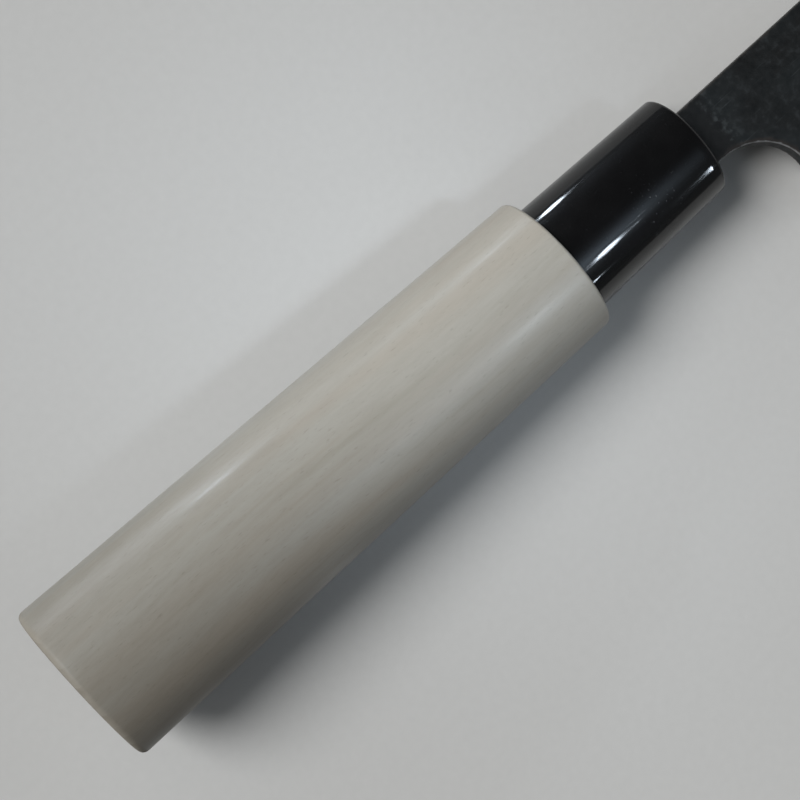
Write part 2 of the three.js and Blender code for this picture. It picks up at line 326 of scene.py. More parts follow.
# %% [markdown]
# ## Finishes
# Each finish starts from what the real material is and how its surface was made. Patterns are sized in
# millimetres: a mapping of 1/12 along the knife and 1/0.4 across it makes marks about 12 mm long and 0.4 mm
# wide. All of them are solid patterns, so they run on round the edges as they do in real wood and steel.

# %% Scale of a pattern whose marks have a given length and width
def marks(long, wide):
    return (1 / long, 1 / wide, 1 / wide)


print("marks of 12 mm by 0.4 mm have the scale", marks(12, 0.4))

# %% [markdown]
# ## Ho wood
# Ho is a Japanese magnolia: pale, light and even, with fine pores and soft streaks of grey green and beige.
# The handle was shaped, sanded along the grain and waxed, which gives a satin sheen with a narrow highlight.
# Pictures of boards could be wrapped round it, but they would not run through to the end grain. Here every
# vertex remembers its place in the log, and the shader cuts growth rings, fibres and pores through that.

# %% Growth rings of the ho wood
PITH = (0.0, -46.0, -38.0)
RING_SPACING = 2.1
HALF_RING, LATE_WOOD_START = 0.5, 0.37
RING_WOBBLE = 1.1
RING_STRENGTH = 0.25
DRIFT_LENGTH, DRIFT_WIDTH = 160, 11
PATCH_LENGTH, PATCH_WIDTH = 45, 4

ho_wood = bpy.data.materials.new("ho_wood_sanded_and_waxed")
ho_wood.use_nodes = True
wood = ho_wood.node_tree
wood_shader = wood.nodes["Principled BSDF"]

log_place = add_node(wood, "ShaderNodeAttribute", attribute_name="log_place").outputs["Vector"]
drift_place = add_node(
    wood, "ShaderNodeMapping", {"Scale": marks(DRIFT_LENGTH, DRIFT_WIDTH)}, {"Vector": log_place})
drift_noise = add_node(
    wood, "ShaderNodeTexNoise", {"Scale": 1.0, "Detail": 2.0}, {"Vector": drift_place.outputs["Vector"]})
from_pith = add_node(
    wood, "ShaderNodeVectorMath", {1: PITH}, {0: log_place}, operation="SUBTRACT")
across_log = add_node(
    wood, "ShaderNodeVectorMath", {1: (0, 1, 1)}, {0: from_pith.outputs["Vector"]}, operation="MULTIPLY")
ring_radius = add_node(
    wood, "ShaderNodeVectorMath", None, {0: across_log.outputs["Vector"]}, operation="LENGTH")
wobbly_radius = add_node(
    wood, "ShaderNodeMath", {1: RING_WOBBLE},
    {0: drift_noise.outputs["Fac"], 2: ring_radius.outputs["Value"]}, operation="MULTIPLY_ADD")
ring_count = add_node(
    wood, "ShaderNodeMath", {1: 1 / RING_SPACING}, {0: wobbly_radius.outputs[0]}, operation="MULTIPLY")
ring_share = add_node(
    wood, "ShaderNodeMath", {1: HALF_RING}, {0: ring_count.outputs[0]}, operation="PINGPONG")
ring_line = add_node(
    wood, "ShaderNodeMapRange", {"From Min": LATE_WOOD_START, "From Max": HALF_RING},
    {"Value": ring_share.outputs[0]}, interpolation_type="SMOOTHSTEP")
patch_place = add_node(
    wood, "ShaderNodeMapping", {"Scale": marks(PATCH_LENGTH, PATCH_WIDTH)}, {"Vector": log_place})
patch_noise = add_node(
    wood, "ShaderNodeTexNoise", {"Scale": 1.0, "Detail": 2.0}, {"Vector": patch_place.outputs["Vector"]})
line_strength = add_node(
    wood, "ShaderNodeMapRange", {"From Min": 0.42, "From Max": 0.68, "To Max": RING_STRENGTH},
    {"Value": patch_noise.outputs["Fac"]})
late_wood = add_node(
    wood, "ShaderNodeMath", None,
    {0: ring_line.outputs["Result"], 1: line_strength.outputs["Result"]}, operation="MULTIPLY")
print("ho wood: rings", RING_SPACING, "mm apart round a pith at", PITH)

# %% Streaks of grey green and beige under the rings
STREAK_LENGTH, STREAK_WIDTH = 120, 5.5

streak_place = add_node(
    wood, "ShaderNodeMapping", {"Scale": marks(STREAK_LENGTH, STREAK_WIDTH)}, {"Vector": log_place})
streaks = add_node(
    wood, "ShaderNodeTexNoise", {"Scale": 1.0, "Detail": 3.0, "Roughness": 0.55},
    {"Vector": streak_place.outputs["Vector"]})
streak_share = add_node(
    wood, "ShaderNodeMapRange", {"From Min": 0.36, "From Max": 0.64}, {"Value": streaks.outputs["Fac"]})
streaked = add_node(
    wood, "ShaderNodeMix", {MIX_A: linear("#b1afa7"), MIX_B: linear("#aea89d")},
    {MIX_FACTOR: streak_share.outputs["Result"]}, data_type="RGBA")
ringed = add_node(
    wood, "ShaderNodeMix", {MIX_B: linear("#9d9787")},
    {MIX_FACTOR: late_wood.outputs[0], MIX_A: streaked.outputs[MIX_COLOUR]}, data_type="RGBA")
print("ho wood: streaks", STREAK_WIDTH, "mm wide")

# %% One olive mineral streak along a growth ring
MINERAL_RADIUS, MINERAL_WIDTH = 67.0, 0.55
MINERAL_START_X, MINERAL_FULL_X = 33.0, 44.0
MINERAL_FADE_X, MINERAL_FAINT_X = 48.0, 82.0
MINERAL_STRENGTH, MINERAL_FAINT_SHARE = 0.20, 0.25

along_log = add_node(wood, "ShaderNodeSeparateXYZ", None, {"Vector": log_place})
from_mineral = add_node(
    wood, "ShaderNodeMath", {1: MINERAL_RADIUS}, {0: ring_radius.outputs["Value"]}, operation="SUBTRACT")
mineral_gap = add_node(wood, "ShaderNodeMath", None, {0: from_mineral.outputs[0]}, operation="ABSOLUTE")
mineral_line = add_node(
    wood, "ShaderNodeMapRange", {"From Min": MINERAL_WIDTH, "From Max": 0.0},
    {"Value": mineral_gap.outputs[0]}, interpolation_type="SMOOTHSTEP")
mineral_start = add_node(
    wood, "ShaderNodeMapRange",
    {"From Min": MINERAL_START_X, "From Max": MINERAL_FULL_X, "To Max": MINERAL_STRENGTH},
    {"Value": along_log.outputs["X"]}, interpolation_type="SMOOTHSTEP")
mineral_fade = add_node(
    wood, "ShaderNodeMapRange",
    {"From Min": MINERAL_FADE_X, "From Max": MINERAL_FAINT_X, "To Min": 1.0, "To Max": MINERAL_FAINT_SHARE},
    {"Value": along_log.outputs["X"]}, interpolation_type="SMOOTHSTEP")
mineral_reach = add_node(
    wood, "ShaderNodeMath", None,
    {0: mineral_start.outputs["Result"], 1: mineral_fade.outputs["Result"]}, operation="MULTIPLY")
mineral = add_node(
    wood, "ShaderNodeMath", None,
    {0: mineral_line.outputs["Result"], 1: mineral_reach.outputs[0]}, operation="MULTIPLY")
stained = add_node(
    wood, "ShaderNodeMix", {MIX_B: linear("#86816a")},
    {MIX_FACTOR: mineral.outputs[0], MIX_A: ringed.outputs[MIX_COLOUR]}, data_type="RGBA")
print("ho wood: mineral streak", 2 * MINERAL_WIDTH, "mm wide")

# %% Fibres and pores of the ho wood
# Real pores are under 0.1 mm wide, so they are drawn about three times as wide to show, and fibres in bundles
FIBRE_LENGTH, FIBRE_WIDTH = 16, 0.34
PORE_LENGTH, PORE_WIDTH = 1.3, 0.28
FIBRE_STRENGTH, PORE_STRENGTH = 0.06, 0.3

fibre_place = add_node(
    wood, "ShaderNodeMapping", {"Scale": marks(FIBRE_LENGTH, FIBRE_WIDTH)}, {"Vector": log_place})
fibres = add_node(
    wood, "ShaderNodeTexNoise", {"Scale": 1.0, "Detail": 3.0, "Roughness": 0.6},
    {"Vector": fibre_place.outputs["Vector"]})
fibre_shade = add_node(
    wood, "ShaderNodeMapRange", {"From Min": 0.35, "From Max": 0.7, "To Max": FIBRE_STRENGTH},
    {"Value": fibres.outputs["Fac"]})
fibred = add_node(
    wood, "ShaderNodeMix", {MIX_B: linear("#8f897c")},
    {MIX_FACTOR: fibre_shade.outputs["Result"], MIX_A: stained.outputs[MIX_COLOUR]}, data_type="RGBA")

pore_place = add_node(
    wood, "ShaderNodeMapping", {"Scale": marks(PORE_LENGTH, PORE_WIDTH)}, {"Vector": log_place})
pore_noise = add_node(
    wood, "ShaderNodeTexNoise", {"Scale": 1.0, "Detail": 1.0}, {"Vector": pore_place.outputs["Vector"]})
pores = add_node(
    wood, "ShaderNodeMapRange", {"From Min": 0.64, "From Max": 0.8, "To Max": PORE_STRENGTH},
    {"Value": pore_noise.outputs["Fac"]})
pored = add_node(
    wood, "ShaderNodeMix", {MIX_B: linear("#7d776b")},
    {MIX_FACTOR: pores.outputs["Result"], MIX_A: fibred.outputs[MIX_COLOUR]}, data_type="RGBA")
print("ho wood: fibres", FIBRE_WIDTH, "mm and pores", PORE_WIDTH, "mm wide")

# %% Flecks all over the ho wood, a little stronger near the butt
FLECK_LENGTH, FLECK_WIDTH = 5.0, 0.8
FLECK_STRENGTH, BUTT_FLECK_STRENGTH = 0.20, 0.27
FLECKED_FROM_X, FLECKED_TO_X = 58.0, 12.0

fleck_place = add_node(
    wood, "ShaderNodeMapping", {"Scale": marks(FLECK_LENGTH, FLECK_WIDTH)}, {"Vector": log_place})
fleck_noise = add_node(
    wood, "ShaderNodeTexNoise", {"Scale": 1.0, "Detail": 4.0, "Roughness": 0.68},
    {"Vector": fleck_place.outputs["Vector"]})
fleck_strength = add_node(
    wood, "ShaderNodeMapRange",
    {"From Min": FLECKED_FROM_X, "From Max": FLECKED_TO_X, "To Min": FLECK_STRENGTH,
     "To Max": BUTT_FLECK_STRENGTH},
    {"Value": along_log.outputs["X"]}, interpolation_type="SMOOTHSTEP")
fleck_share = add_node(
    wood, "ShaderNodeMapRange", {"From Min": 0.38, "From Max": 0.66}, {"Value": fleck_noise.outputs["Fac"]})
fleck_depth = add_node(
    wood, "ShaderNodeMath", None, {0: fleck_share.outputs["Result"], 1: fleck_strength.outputs["Result"]},
    operation="MULTIPLY")
flecked = add_node(
    wood, "ShaderNodeMix", {MIX_B: linear("#989287")},
    {MIX_FACTOR: fleck_depth.outputs[0], MIX_A: pored.outputs[MIX_COLOUR]}, data_type="RGBA")
print("ho wood: flecks", FLECK_WIDTH, "mm wide")

# %% Painted shade towards the butt, and end grain of the ho wood
# The colour is darkened towards the butt as painted shade, where the light falls off, and end grain drinks
# more wax than the sides do
PAINTED_SHADE_FROM_X, PAINTED_SHADE_TO_X = 72.0, 4.0
END_SHADE = 0.55
FAINT_END_RING, CLEAR_END_RING = 0.05, 0.4

# Painted shade: the wood's colour is multiplied darker from the front of the handle back to the butt
butt_shade_share = add_node(
    wood, "ShaderNodeMapRange", {"From Min": PAINTED_SHADE_FROM_X, "From Max": PAINTED_SHADE_TO_X},
    {"Value": along_log.outputs["X"]}, interpolation_type="SMOOTHSTEP")
painted_butt_shade = add_node(
    wood, "ShaderNodeMix", {MIX_B: linear("#d8d6d3")},
    {MIX_FACTOR: butt_shade_share.outputs["Result"], MIX_A: flecked.outputs[MIX_COLOUR]}, data_type="RGBA",
    blend_type="MULTIPLY")
end_grain = add_node(wood, "ShaderNodeAttribute", attribute_name="end_grain")
end_shade = add_node(
    wood, "ShaderNodeMath", {1: END_SHADE}, {0: end_grain.outputs["Fac"]}, operation="MULTIPLY")
ended = add_node(
    wood, "ShaderNodeMix", {MIX_B: linear("#938d82")},
    {MIX_FACTOR: end_shade.outputs[0], MIX_A: painted_butt_shade.outputs[MIX_COLOUR]}, data_type="RGBA")
# Across the grain each growth ring darkens slowly and ends in a sharp line, clearer in some patches
end_ring = add_node(wood, "ShaderNodeMath", None, {0: ring_count.outputs[0]}, operation="FRACT")
end_ring_strength = add_node(
    wood, "ShaderNodeMapRange",
    {"From Min": 0.36, "From Max": 0.66, "To Min": FAINT_END_RING, "To Max": CLEAR_END_RING},
    {"Value": patch_noise.outputs["Fac"]})
end_ring_depth = add_node(
    wood, "ShaderNodeMapRange", None,
    {"Value": end_ring.outputs[0], "To Max": end_ring_strength.outputs["Result"]},
    interpolation_type="SMOOTHSTEP")
end_ring_shade = add_node(
    wood, "ShaderNodeMath", None,
    {0: end_ring_depth.outputs["Result"], 1: end_grain.outputs["Fac"]}, operation="MULTIPLY")
end_ringed = add_node(
    wood, "ShaderNodeMix", {MIX_B: linear("#655e51")},
    {MIX_FACTOR: end_ring_shade.outputs[0], MIX_A: ended.outputs[MIX_COLOUR]}, data_type="RGBA")
wood.links.new(end_ringed.outputs[MIX_COLOUR], wood_shader.inputs["Base Color"])
print("ho wood: darkened from", PAINTED_SHADE_FROM_X, "mm back to the butt")

# %% Polish and relief of the ho wood
POLISH_PATCH = 14
POLISHED_ROUGH, DULL_ROUGH = 0.32, 0.42
END_ROUGHER = 0.35
WOOD_RELIEF, WOOD_RELIEF_STRENGTH = 0.02, 0.35

polish_place = add_node(
    wood, "ShaderNodeMapping", {"Scale": marks(3 * POLISH_PATCH, POLISH_PATCH)}, {"Vector": log_place})
polish = add_node(
    wood, "ShaderNodeTexNoise", {"Scale": 1.0, "Detail": 3.0}, {"Vector": polish_place.outputs["Vector"]})
polish_rough = add_node(
    wood, "ShaderNodeMapRange",
    {"From Min": 0.35, "From Max": 0.65, "To Min": POLISHED_ROUGH, "To Max": DULL_ROUGH},
    {"Value": polish.outputs["Fac"]})
end_rough = add_node(
    wood, "ShaderNodeMath", {1: END_ROUGHER},
    {0: end_grain.outputs["Fac"], 2: polish_rough.outputs["Result"]}, operation="MULTIPLY_ADD")
relief = add_node(
    wood, "ShaderNodeMath", None, {0: fibres.outputs["Fac"], 1: pores.outputs["Result"]},
    operation="SUBTRACT")
wood_bump = add_node(
    wood, "ShaderNodeBump", {"Strength": WOOD_RELIEF_STRENGTH, "Distance": WOOD_RELIEF * MM},
    {"Height": relief.outputs[0]})

burnish = add_node(wood, "ShaderNodeAttribute", attribute_name="burnish")
wood_shader.inputs["IOR"].default_value = 1.48
wood_shader.inputs["Specular IOR Level"].default_value = 0.35
wood_shader.inputs["Coat Roughness"].default_value = 0.16
wood.links.new(burnish.outputs["Fac"], wood_shader.inputs["Coat Weight"])
wood.links.new(end_rough.outputs[0], wood_shader.inputs["Roughness"])
wood.links.new(wood_bump.outputs["Normal"], wood_shader.inputs["Normal"])
print("ho wood: satin, with relief of", WOOD_RELIEF, "mm")

# %% [markdown]
# ## Black moulded plastic
# The ferrule was injection moulded in black ABS and comes out of a polished mould, so it mirrors the lamps in
# crisp streaks. Handling leaves hairlines along it, a few dull smears and grains of dust. Only the roughness,
# a little relief and the dust's own colour are needed for that: the black itself stays the same all over.

# %% Hairlines and smears on glossy ABS
# Real hairlines are under 0.05 mm wide, so they are drawn about three times as wide to show
HAIRLINE_LENGTH, HAIRLINE_WIDTH = 30, 0.16
SMEAR_SIZE = 5.0
CLEAN_ROUGH, SMEARED_ROUGH = 0.40, 0.52
HAIRLINE_ROUGHER = 0.16

abs_plastic = bpy.data.materials.new("black_abs_moulded")
abs_plastic.use_nodes = True
plastic = abs_plastic.node_tree
plastic_shader = plastic.nodes["Principled BSDF"]
plastic_metres = add_node(plastic, "ShaderNodeTexCoord").outputs["Object"]
plastic_place = add_node(
    plastic, "ShaderNodeMapping", {"Scale": (1 / MM, 1 / MM, 1 / MM)},
    {"Vector": plastic_metres}).outputs["Vector"]

hairline_place = add_node(
    plastic, "ShaderNodeMapping", {"Scale": marks(HAIRLINE_LENGTH, HAIRLINE_WIDTH)},
    {"Vector": plastic_place})
hairline_noise = add_node(
    plastic, "ShaderNodeTexNoise", {"Scale": 1.0, "Detail": 1.0},
    {"Vector": hairline_place.outputs["Vector"]})
hairlines = add_node(
    plastic, "ShaderNodeMapRange", {"From Min": 0.68, "From Max": 0.75},
    {"Value": hairline_noise.outputs["Fac"]})
smear_noise = add_node(
    plastic, "ShaderNodeTexNoise", {"Scale": 1 / SMEAR_SIZE, "Detail": 4.0}, {"Vector": plastic_place})
smears = add_node(
    plastic, "ShaderNodeMapRange",
    {"From Min": 0.45, "From Max": 0.7, "To Min": CLEAN_ROUGH, "To Max": SMEARED_ROUGH},
    {"Value": smear_noise.outputs["Fac"]})
hairline_rough = add_node(
    plastic, "ShaderNodeMath", {1: HAIRLINE_ROUGHER},
    {0: hairlines.outputs["Result"], 2: smears.outputs["Result"]}, operation="MULTIPLY_ADD")
print("ABS: hairlines", HAIRLINE_WIDTH, "mm wide, smears", SMEAR_SIZE, "mm across")

# %% Dust on the ABS, most of it in one place, and the gloss under it
DUST_SIZE = 0.5
DUST_MIDDLE = (110.5, -3.2, 6.9)
DUST_REACH, DUST_CORE = 5.5, 1.5
STRAY_DUST = 0.04
DUST_ROUGHER = 0.5
PLASTIC_RELIEF, PLASTIC_RELIEF_STRENGTH = 0.004, 0.3

dust_noise = add_node(
    plastic, "ShaderNodeTexNoise", {"Scale": 1 / DUST_SIZE, "Detail": 2.0}, {"Vector": plastic_place})
dust_grains = add_node(
    plastic, "ShaderNodeMapRange", {"From Min": 0.68, "From Max": 0.76},
    {"Value": dust_noise.outputs["Fac"]})
from_dust = add_node(
    plastic, "ShaderNodeVectorMath", {1: DUST_MIDDLE}, {0: plastic_place}, operation="DISTANCE")
dust_clusters = add_node(
    plastic, "ShaderNodeMapRange", {"From Min": DUST_REACH, "From Max": DUST_CORE, "To Min": STRAY_DUST},
    {"Value": from_dust.outputs["Value"]})
dust = add_node(
    plastic, "ShaderNodeMath", None,
    {0: dust_grains.outputs["Result"], 1: dust_clusters.outputs["Result"]}, operation="MULTIPLY")
dusty = add_node(
    plastic, "ShaderNodeMix", {MIX_A: linear("#070708"), MIX_B: linear("#66696b")},
    {MIX_FACTOR: dust.outputs[0]}, data_type="RGBA")
dust_rough = add_node(
    plastic, "ShaderNodeMath", {1: DUST_ROUGHER}, {0: dust.outputs[0], 2: hairline_rough.outputs[0]},
    operation="MULTIPLY_ADD")
plastic_bump = add_node(
    plastic, "ShaderNodeBump", {"Strength": PLASTIC_RELIEF_STRENGTH, "Distance": PLASTIC_RELIEF * MM},
    {"Height": hairlines.outputs["Result"]})

plastic_shader.inputs["IOR"].default_value = 1.53
plastic_shader.inputs["Specular IOR Level"].default_value = 0.1
plastic_shader.inputs["Coat Weight"].default_value = 0.9
plastic_shader.inputs["Coat Roughness"].default_value = 0.05
plastic.links.new(dusty.outputs[MIX_COLOUR], plastic_shader.inputs["Base Color"])
plastic.links.new(dust_rough.outputs[0], plastic_shader.inputs["Roughness"])
plastic.links.new(plastic_bump.outputs["Normal"], plastic_shader.inputs["Normal"])
plastic.links.new(plastic_bump.outputs["Normal"], plastic_shader.inputs["Coat Normal"])
print("ABS: dust grains up to", DUST_SIZE, "mm")

# %% [markdown]
# ## Forged steel
# The blade is a hard steel core between two sheets of soft iron. Forging leaves a blue-black skin of iron
# oxide, which smiths call kurouchi. It is dull and mottled, lighter where it is thin, and it rubs off first
# along the eased edges, where bare iron shines through. Grinding the bevel takes it off and leaves a hazy
# grey iron with fine stone scratches. One shader holds skin, bare iron and ground iron, because on the real
# blade each turns into the next over an uneven line. Two values on the vertices say where: the distance from
# the cutting edge, and how far an edge is worn.

# %% Skin of oxide, mottled and speckled
MOTTLE_SIZE, SPECK_SIZE = 7.0, 1.1
SPECK_STRENGTH = 0.5


def oxide_skin(steel, mottle, specks):
    mottle_share = add_node(
        steel, "ShaderNodeMapRange", {"From Min": 0.34, "From Max": 0.66}, {"Value": mottle})
    oxide = add_node(
        steel, "ShaderNodeMix", {MIX_A: linear("#0c0f10"), MIX_B: linear("#171c1e")},
        {MIX_FACTOR: mottle_share.outputs["Result"]}, data_type="RGBA")
    speck_share = add_node(
        steel, "ShaderNodeMapRange", {"From Min": 0.56, "From Max": 0.74, "To Max": SPECK_STRENGTH},
        {"Value": specks})
    specked = add_node(
        steel, "ShaderNodeMix", {MIX_B: linear("#2a2f32")},
        {MIX_FACTOR: speck_share.outputs["Result"], MIX_A: oxide.outputs[MIX_COLOUR]}, data_type="RGBA")
    return specked.outputs[MIX_COLOUR]


print("oxide: mottled over", MOTTLE_SIZE, "mm, specks", SPECK_SIZE, "mm")

# %% A darker neck, handling scratches, and scuffs where the neck's skin ends
NECK_SKIN_X = 127.9
NECK_SKIN_RAGGED = 3.0
NECK_SKIN_START_X, NECK_SKIN_FULL_X = NECK_SKIN_X + 2.0, NECK_SKIN_X + 1.2
NECK_SKIN_STRENGTH = 0.75
SCUFF_X = NECK_SKIN_X + 2.2
SCUFF_REACH, SCUFF_CORE, SCUFF_STRENGTH = 1.9, 0.2, 0.8
SCRATCH_LENGTH, SCRATCH_WIDTH = 9.0, 0.22
SCRATCH_ANGLE, SCRATCH_STRENGTH = np.radians(38), 0.5


def handled_skin(steel, place, specks, skin):
    along = add_node(steel, "ShaderNodeSeparateXYZ", None, {"Vector": place})
    ragged = add_node(
        steel, "ShaderNodeMath", {1: NECK_SKIN_RAGGED}, {0: specks, 2: along.outputs["X"]},
        operation="MULTIPLY_ADD")
    neck_skin = add_node(
        steel, "ShaderNodeMapRange",
        {"From Min": NECK_SKIN_START_X, "From Max": NECK_SKIN_FULL_X, "To Max": NECK_SKIN_STRENGTH},
        {"Value": ragged.outputs[0]})
    necked = add_node(
        steel, "ShaderNodeMix", {MIX_B: linear("#0e1012")},
        {MIX_FACTOR: neck_skin.outputs["Result"], MIX_A: skin}, data_type="RGBA")

    scratch_place = add_node(
        steel, "ShaderNodeMapping",
        {"Rotation": (0, 0, SCRATCH_ANGLE), "Scale": marks(SCRATCH_LENGTH, SCRATCH_WIDTH)},
        {"Vector": place})
    scratch_noise = add_node(
        steel, "ShaderNodeTexNoise", {"Scale": 1.0, "Detail": 2.0},
        {"Vector": scratch_place.outputs["Vector"]})
    scratches = add_node(
        steel, "ShaderNodeMapRange", {"From Min": 0.69, "From Max": 0.78, "To Max": SCRATCH_STRENGTH},
        {"Value": scratch_noise.outputs["Fac"]})
    scratched = add_node(
        steel, "ShaderNodeMix", {MIX_B: linear("#474c4f")},
        {MIX_FACTOR: scratches.outputs["Result"], MIX_A: necked.outputs[MIX_COLOUR]}, data_type="RGBA")

    past_neck = add_node(
        steel, "ShaderNodeMath", {1: SCUFF_X}, {0: ragged.outputs[0]}, operation="SUBTRACT")
    neck_gap = add_node(steel, "ShaderNodeMath", None, {0: past_neck.outputs[0]}, operation="ABSOLUTE")
    near_neck = add_node(
        steel, "ShaderNodeMapRange",
        {"From Min": SCUFF_REACH, "From Max": SCUFF_CORE, "To Max": SCUFF_STRENGTH},
        {"Value": neck_gap.outputs[0]})
    rubbed_spots = add_node(
        steel, "ShaderNodeMapRange", {"From Min": 0.50, "From Max": 0.66}, {"Value": specks})
    scuff_share = add_node(
        steel, "ShaderNodeMath", None,
        {0: near_neck.outputs["Result"], 1: rubbed_spots.outputs["Result"]}, operation="MULTIPLY")
    scuffed = add_node(
        steel, "ShaderNodeMix", {MIX_B: linear("#34393b")},
        {MIX_FACTOR: scuff_share.outputs[0], MIX_A: scratched.outputs[MIX_COLOUR]}, data_type="RGBA")
    return scuffed.outputs[MIX_COLOUR]


print("oxide: scratches", SCRATCH_WIDTH, "mm wide, the neck's darker skin ends near x =", NECK_SKIN_X, "mm")

# %% Stone-ground steel between two greys
# A stone's real scratches are about 0.02 mm wide, so they are drawn ten times as wide to show
STONE_LENGTH, STONE_WIDTH = 26.0, 0.2
STONE_ANGLE = np.radians(-6)


def stone_ground(steel, place, light, dark):
    stone_place = add_node(
        steel, "ShaderNodeMapping",
        {"Rotation": (0, 0, STONE_ANGLE), "Scale": marks(STONE_LENGTH, STONE_WIDTH)}, {"Vector": place})
    stone = add_node(
        steel, "ShaderNodeTexNoise", {"Scale": 1.0, "Detail": 3.0, "Roughness": 0.65},
        {"Vector": stone_place.outputs["Vector"]})
    ground = add_node(
        steel, "ShaderNodeMix", {MIX_A: linear(dark), MIX_B: linear(light)},
        {MIX_FACTOR: stone.outputs["Fac"]}, data_type="RGBA")
    return ground.outputs[MIX_COLOUR], stone.outputs["Fac"]


print("stone: scratches", STONE_LENGTH, "mm long, at", round(np.degrees(STONE_ANGLE)), "degrees to the knife")

# %% Where the skin is gone, on the bevel and along worn edges, and the rust beside it
GRIND_RAGGED = 1.6
GRIND_START, GRIND_FULL = BEVEL_WIDTH + 0.95, BEVEL_WIDTH + 0.55
WEAR_RAGGED = 0.6
WORN_START, WORN_FULL = 1.08, 1.36
RUST_START, RUST_FULL, RUST_STRENGTH = 0.62, 0.9, 0.7


def bare_and_rusty(steel, mottle, specks, skin):
    from_edge = add_node(steel, "ShaderNodeAttribute", attribute_name="from_edge").outputs["Fac"]
    wear = add_node(steel, "ShaderNodeAttribute", attribute_name="wear").outputs["Fac"]
    uneven_edge = add_node(
        steel, "ShaderNodeMath", {1: GRIND_RAGGED}, {0: mottle, 2: from_edge}, operation="MULTIPLY_ADD")
    on_bevel = add_node(
        steel, "ShaderNodeMapRange", {"From Min": GRIND_START, "From Max": GRIND_FULL},
        {"Value": uneven_edge.outputs[0]})
    torn_wear = add_node(
        steel, "ShaderNodeMath", {1: WEAR_RAGGED}, {0: specks, 2: wear}, operation="MULTIPLY_ADD")
    worn = add_node(
        steel, "ShaderNodeMapRange", {"From Min": WORN_START, "From Max": WORN_FULL},
        {"Value": torn_wear.outputs[0]})
    rust_share = add_node(
        steel, "ShaderNodeMapRange", {"From Min": RUST_START, "From Max": RUST_FULL, "To Max": RUST_STRENGTH},
        {"Value": torn_wear.outputs[0]})
    rusty = add_node(
        steel, "ShaderNodeMix", {MIX_B: linear("#2b2521")},
        {MIX_FACTOR: rust_share.outputs["Result"], MIX_A: skin}, data_type="RGBA")
    bare = add_node(
        steel, "ShaderNodeMath", None, {0: on_bevel.outputs["Result"], 1: worn.outputs["Result"]},
        operation="MAXIMUM")
    return bare.outputs[0], rusty.outputs[MIX_COLOUR]


print("the skin ends about", BEVEL_WIDTH, "mm from the cutting edge")

# %% Skin, bare iron and ground iron in one shader
SKIN_SMOOTH, SKIN_ROUGH = 0.42, 0.62
STONE_ROUGH_SPREAD = 0.06
SCALE_RELIEF, SCALE_RELIEF_STRENGTH = 0.03, 0.4
MIX_NUMBER_A, MIX_NUMBER_B = 2, 3


def forged_steel(name, ground_light, ground_dark, ground_rough):
    material = bpy.data.materials.new(name)
    material.use_nodes = True
    steel = material.node_tree
    shader = steel.nodes["Principled BSDF"]
    metres = add_node(steel, "ShaderNodeTexCoord").outputs["Object"]
    place = add_node(
        steel, "ShaderNodeMapping", {"Scale": (1 / MM, 1 / MM, 1 / MM)}, {"Vector": metres}).outputs["Vector"]
    mottle = add_node(
        steel, "ShaderNodeTexNoise", {"Scale": 1 / MOTTLE_SIZE, "Detail": 5.0, "Roughness": 0.6},
        {"Vector": place}).outputs["Fac"]
    specks = add_node(
        steel, "ShaderNodeTexNoise", {"Scale": 1 / SPECK_SIZE, "Detail": 3.0},
        {"Vector": place}).outputs["Fac"]

    skin = handled_skin(steel, place, specks, oxide_skin(steel, mottle, specks))
    bare, rusty = bare_and_rusty(steel, mottle, specks, skin)
    ground, stone = stone_ground(steel, place, ground_light, ground_dark)
    faced = add_node(
        steel, "ShaderNodeMix", None, {MIX_FACTOR: bare, MIX_A: rusty, MIX_B: ground}, data_type="RGBA")
    skin_rough = add_node(
        steel, "ShaderNodeMapRange",
        {"From Min": 0.3, "From Max": 0.7, "To Min": SKIN_SMOOTH, "To Max": SKIN_ROUGH}, {"Value": specks})
    stone_rough = add_node(
        steel, "ShaderNodeMapRange",
        {"From Min": 0.3, "From Max": 0.7, "To Min": ground_rough - STONE_ROUGH_SPREAD,
         "To Max": ground_rough + STONE_ROUGH_SPREAD}, {"Value": stone})
    rough = add_node(
        steel, "ShaderNodeMix", None,
        {MIX_FACTOR: bare, MIX_NUMBER_A: skin_rough.outputs["Result"],
         MIX_NUMBER_B: stone_rough.outputs["Result"]}, data_type="FLOAT")
    height = add_node(
        steel, "ShaderNodeMix", None,
        {MIX_FACTOR: bare, MIX_NUMBER_A: specks, MIX_NUMBER_B: stone}, data_type="FLOAT")
    bump = add_node(
        steel, "ShaderNodeBump", {"Strength": SCALE_RELIEF_STRENGTH, "Distance": SCALE_RELIEF * MM},
        {"Height": height.outputs[0]})

    steel.links.new(faced.outputs[MIX_COLOUR], shader.inputs["Base Color"])
    steel.links.new(bare, shader.inputs["Metallic"])
    steel.links.new(rough.outputs[0], shader.inputs["Roughness"])
    steel.links.new(bump.outputs["Normal"], shader.inputs["Normal"])
    return material


# %% Soft iron for the claddings, with one more for their hidden faces and narrow walls, and hard steel
SOFT_IRON_GROUND = ("#c2c4c5", "#97989a", 0.70)
HARD_STEEL_GROUND = ("#cdd0d2", "#a6a9ac", 0.67)

soft_iron = forged_steel("soft_iron_forge_scaled", *SOFT_IRON_GROUND)
hard_steel = forged_steel("hard_steel_stone_ground", *HARD_STEEL_GROUND)
soft_iron_wall = forged_steel("soft_iron_scaled_wall", *SOFT_IRON_GROUND)
print("steels:", soft_iron.name, hard_steel.name, soft_iron_wall.name)

# %% [markdown]
# ## Lofting the handle and the ferrule
# Both are ovals that taper along the knife. Rings of points are set up from the butt forward and a skin is
# drawn over them, like planks on the ribs of a boat. The same skin turns in at the end and runs back down the
# socket, so each piece is one closed shell with the hollow that the tang goes into.

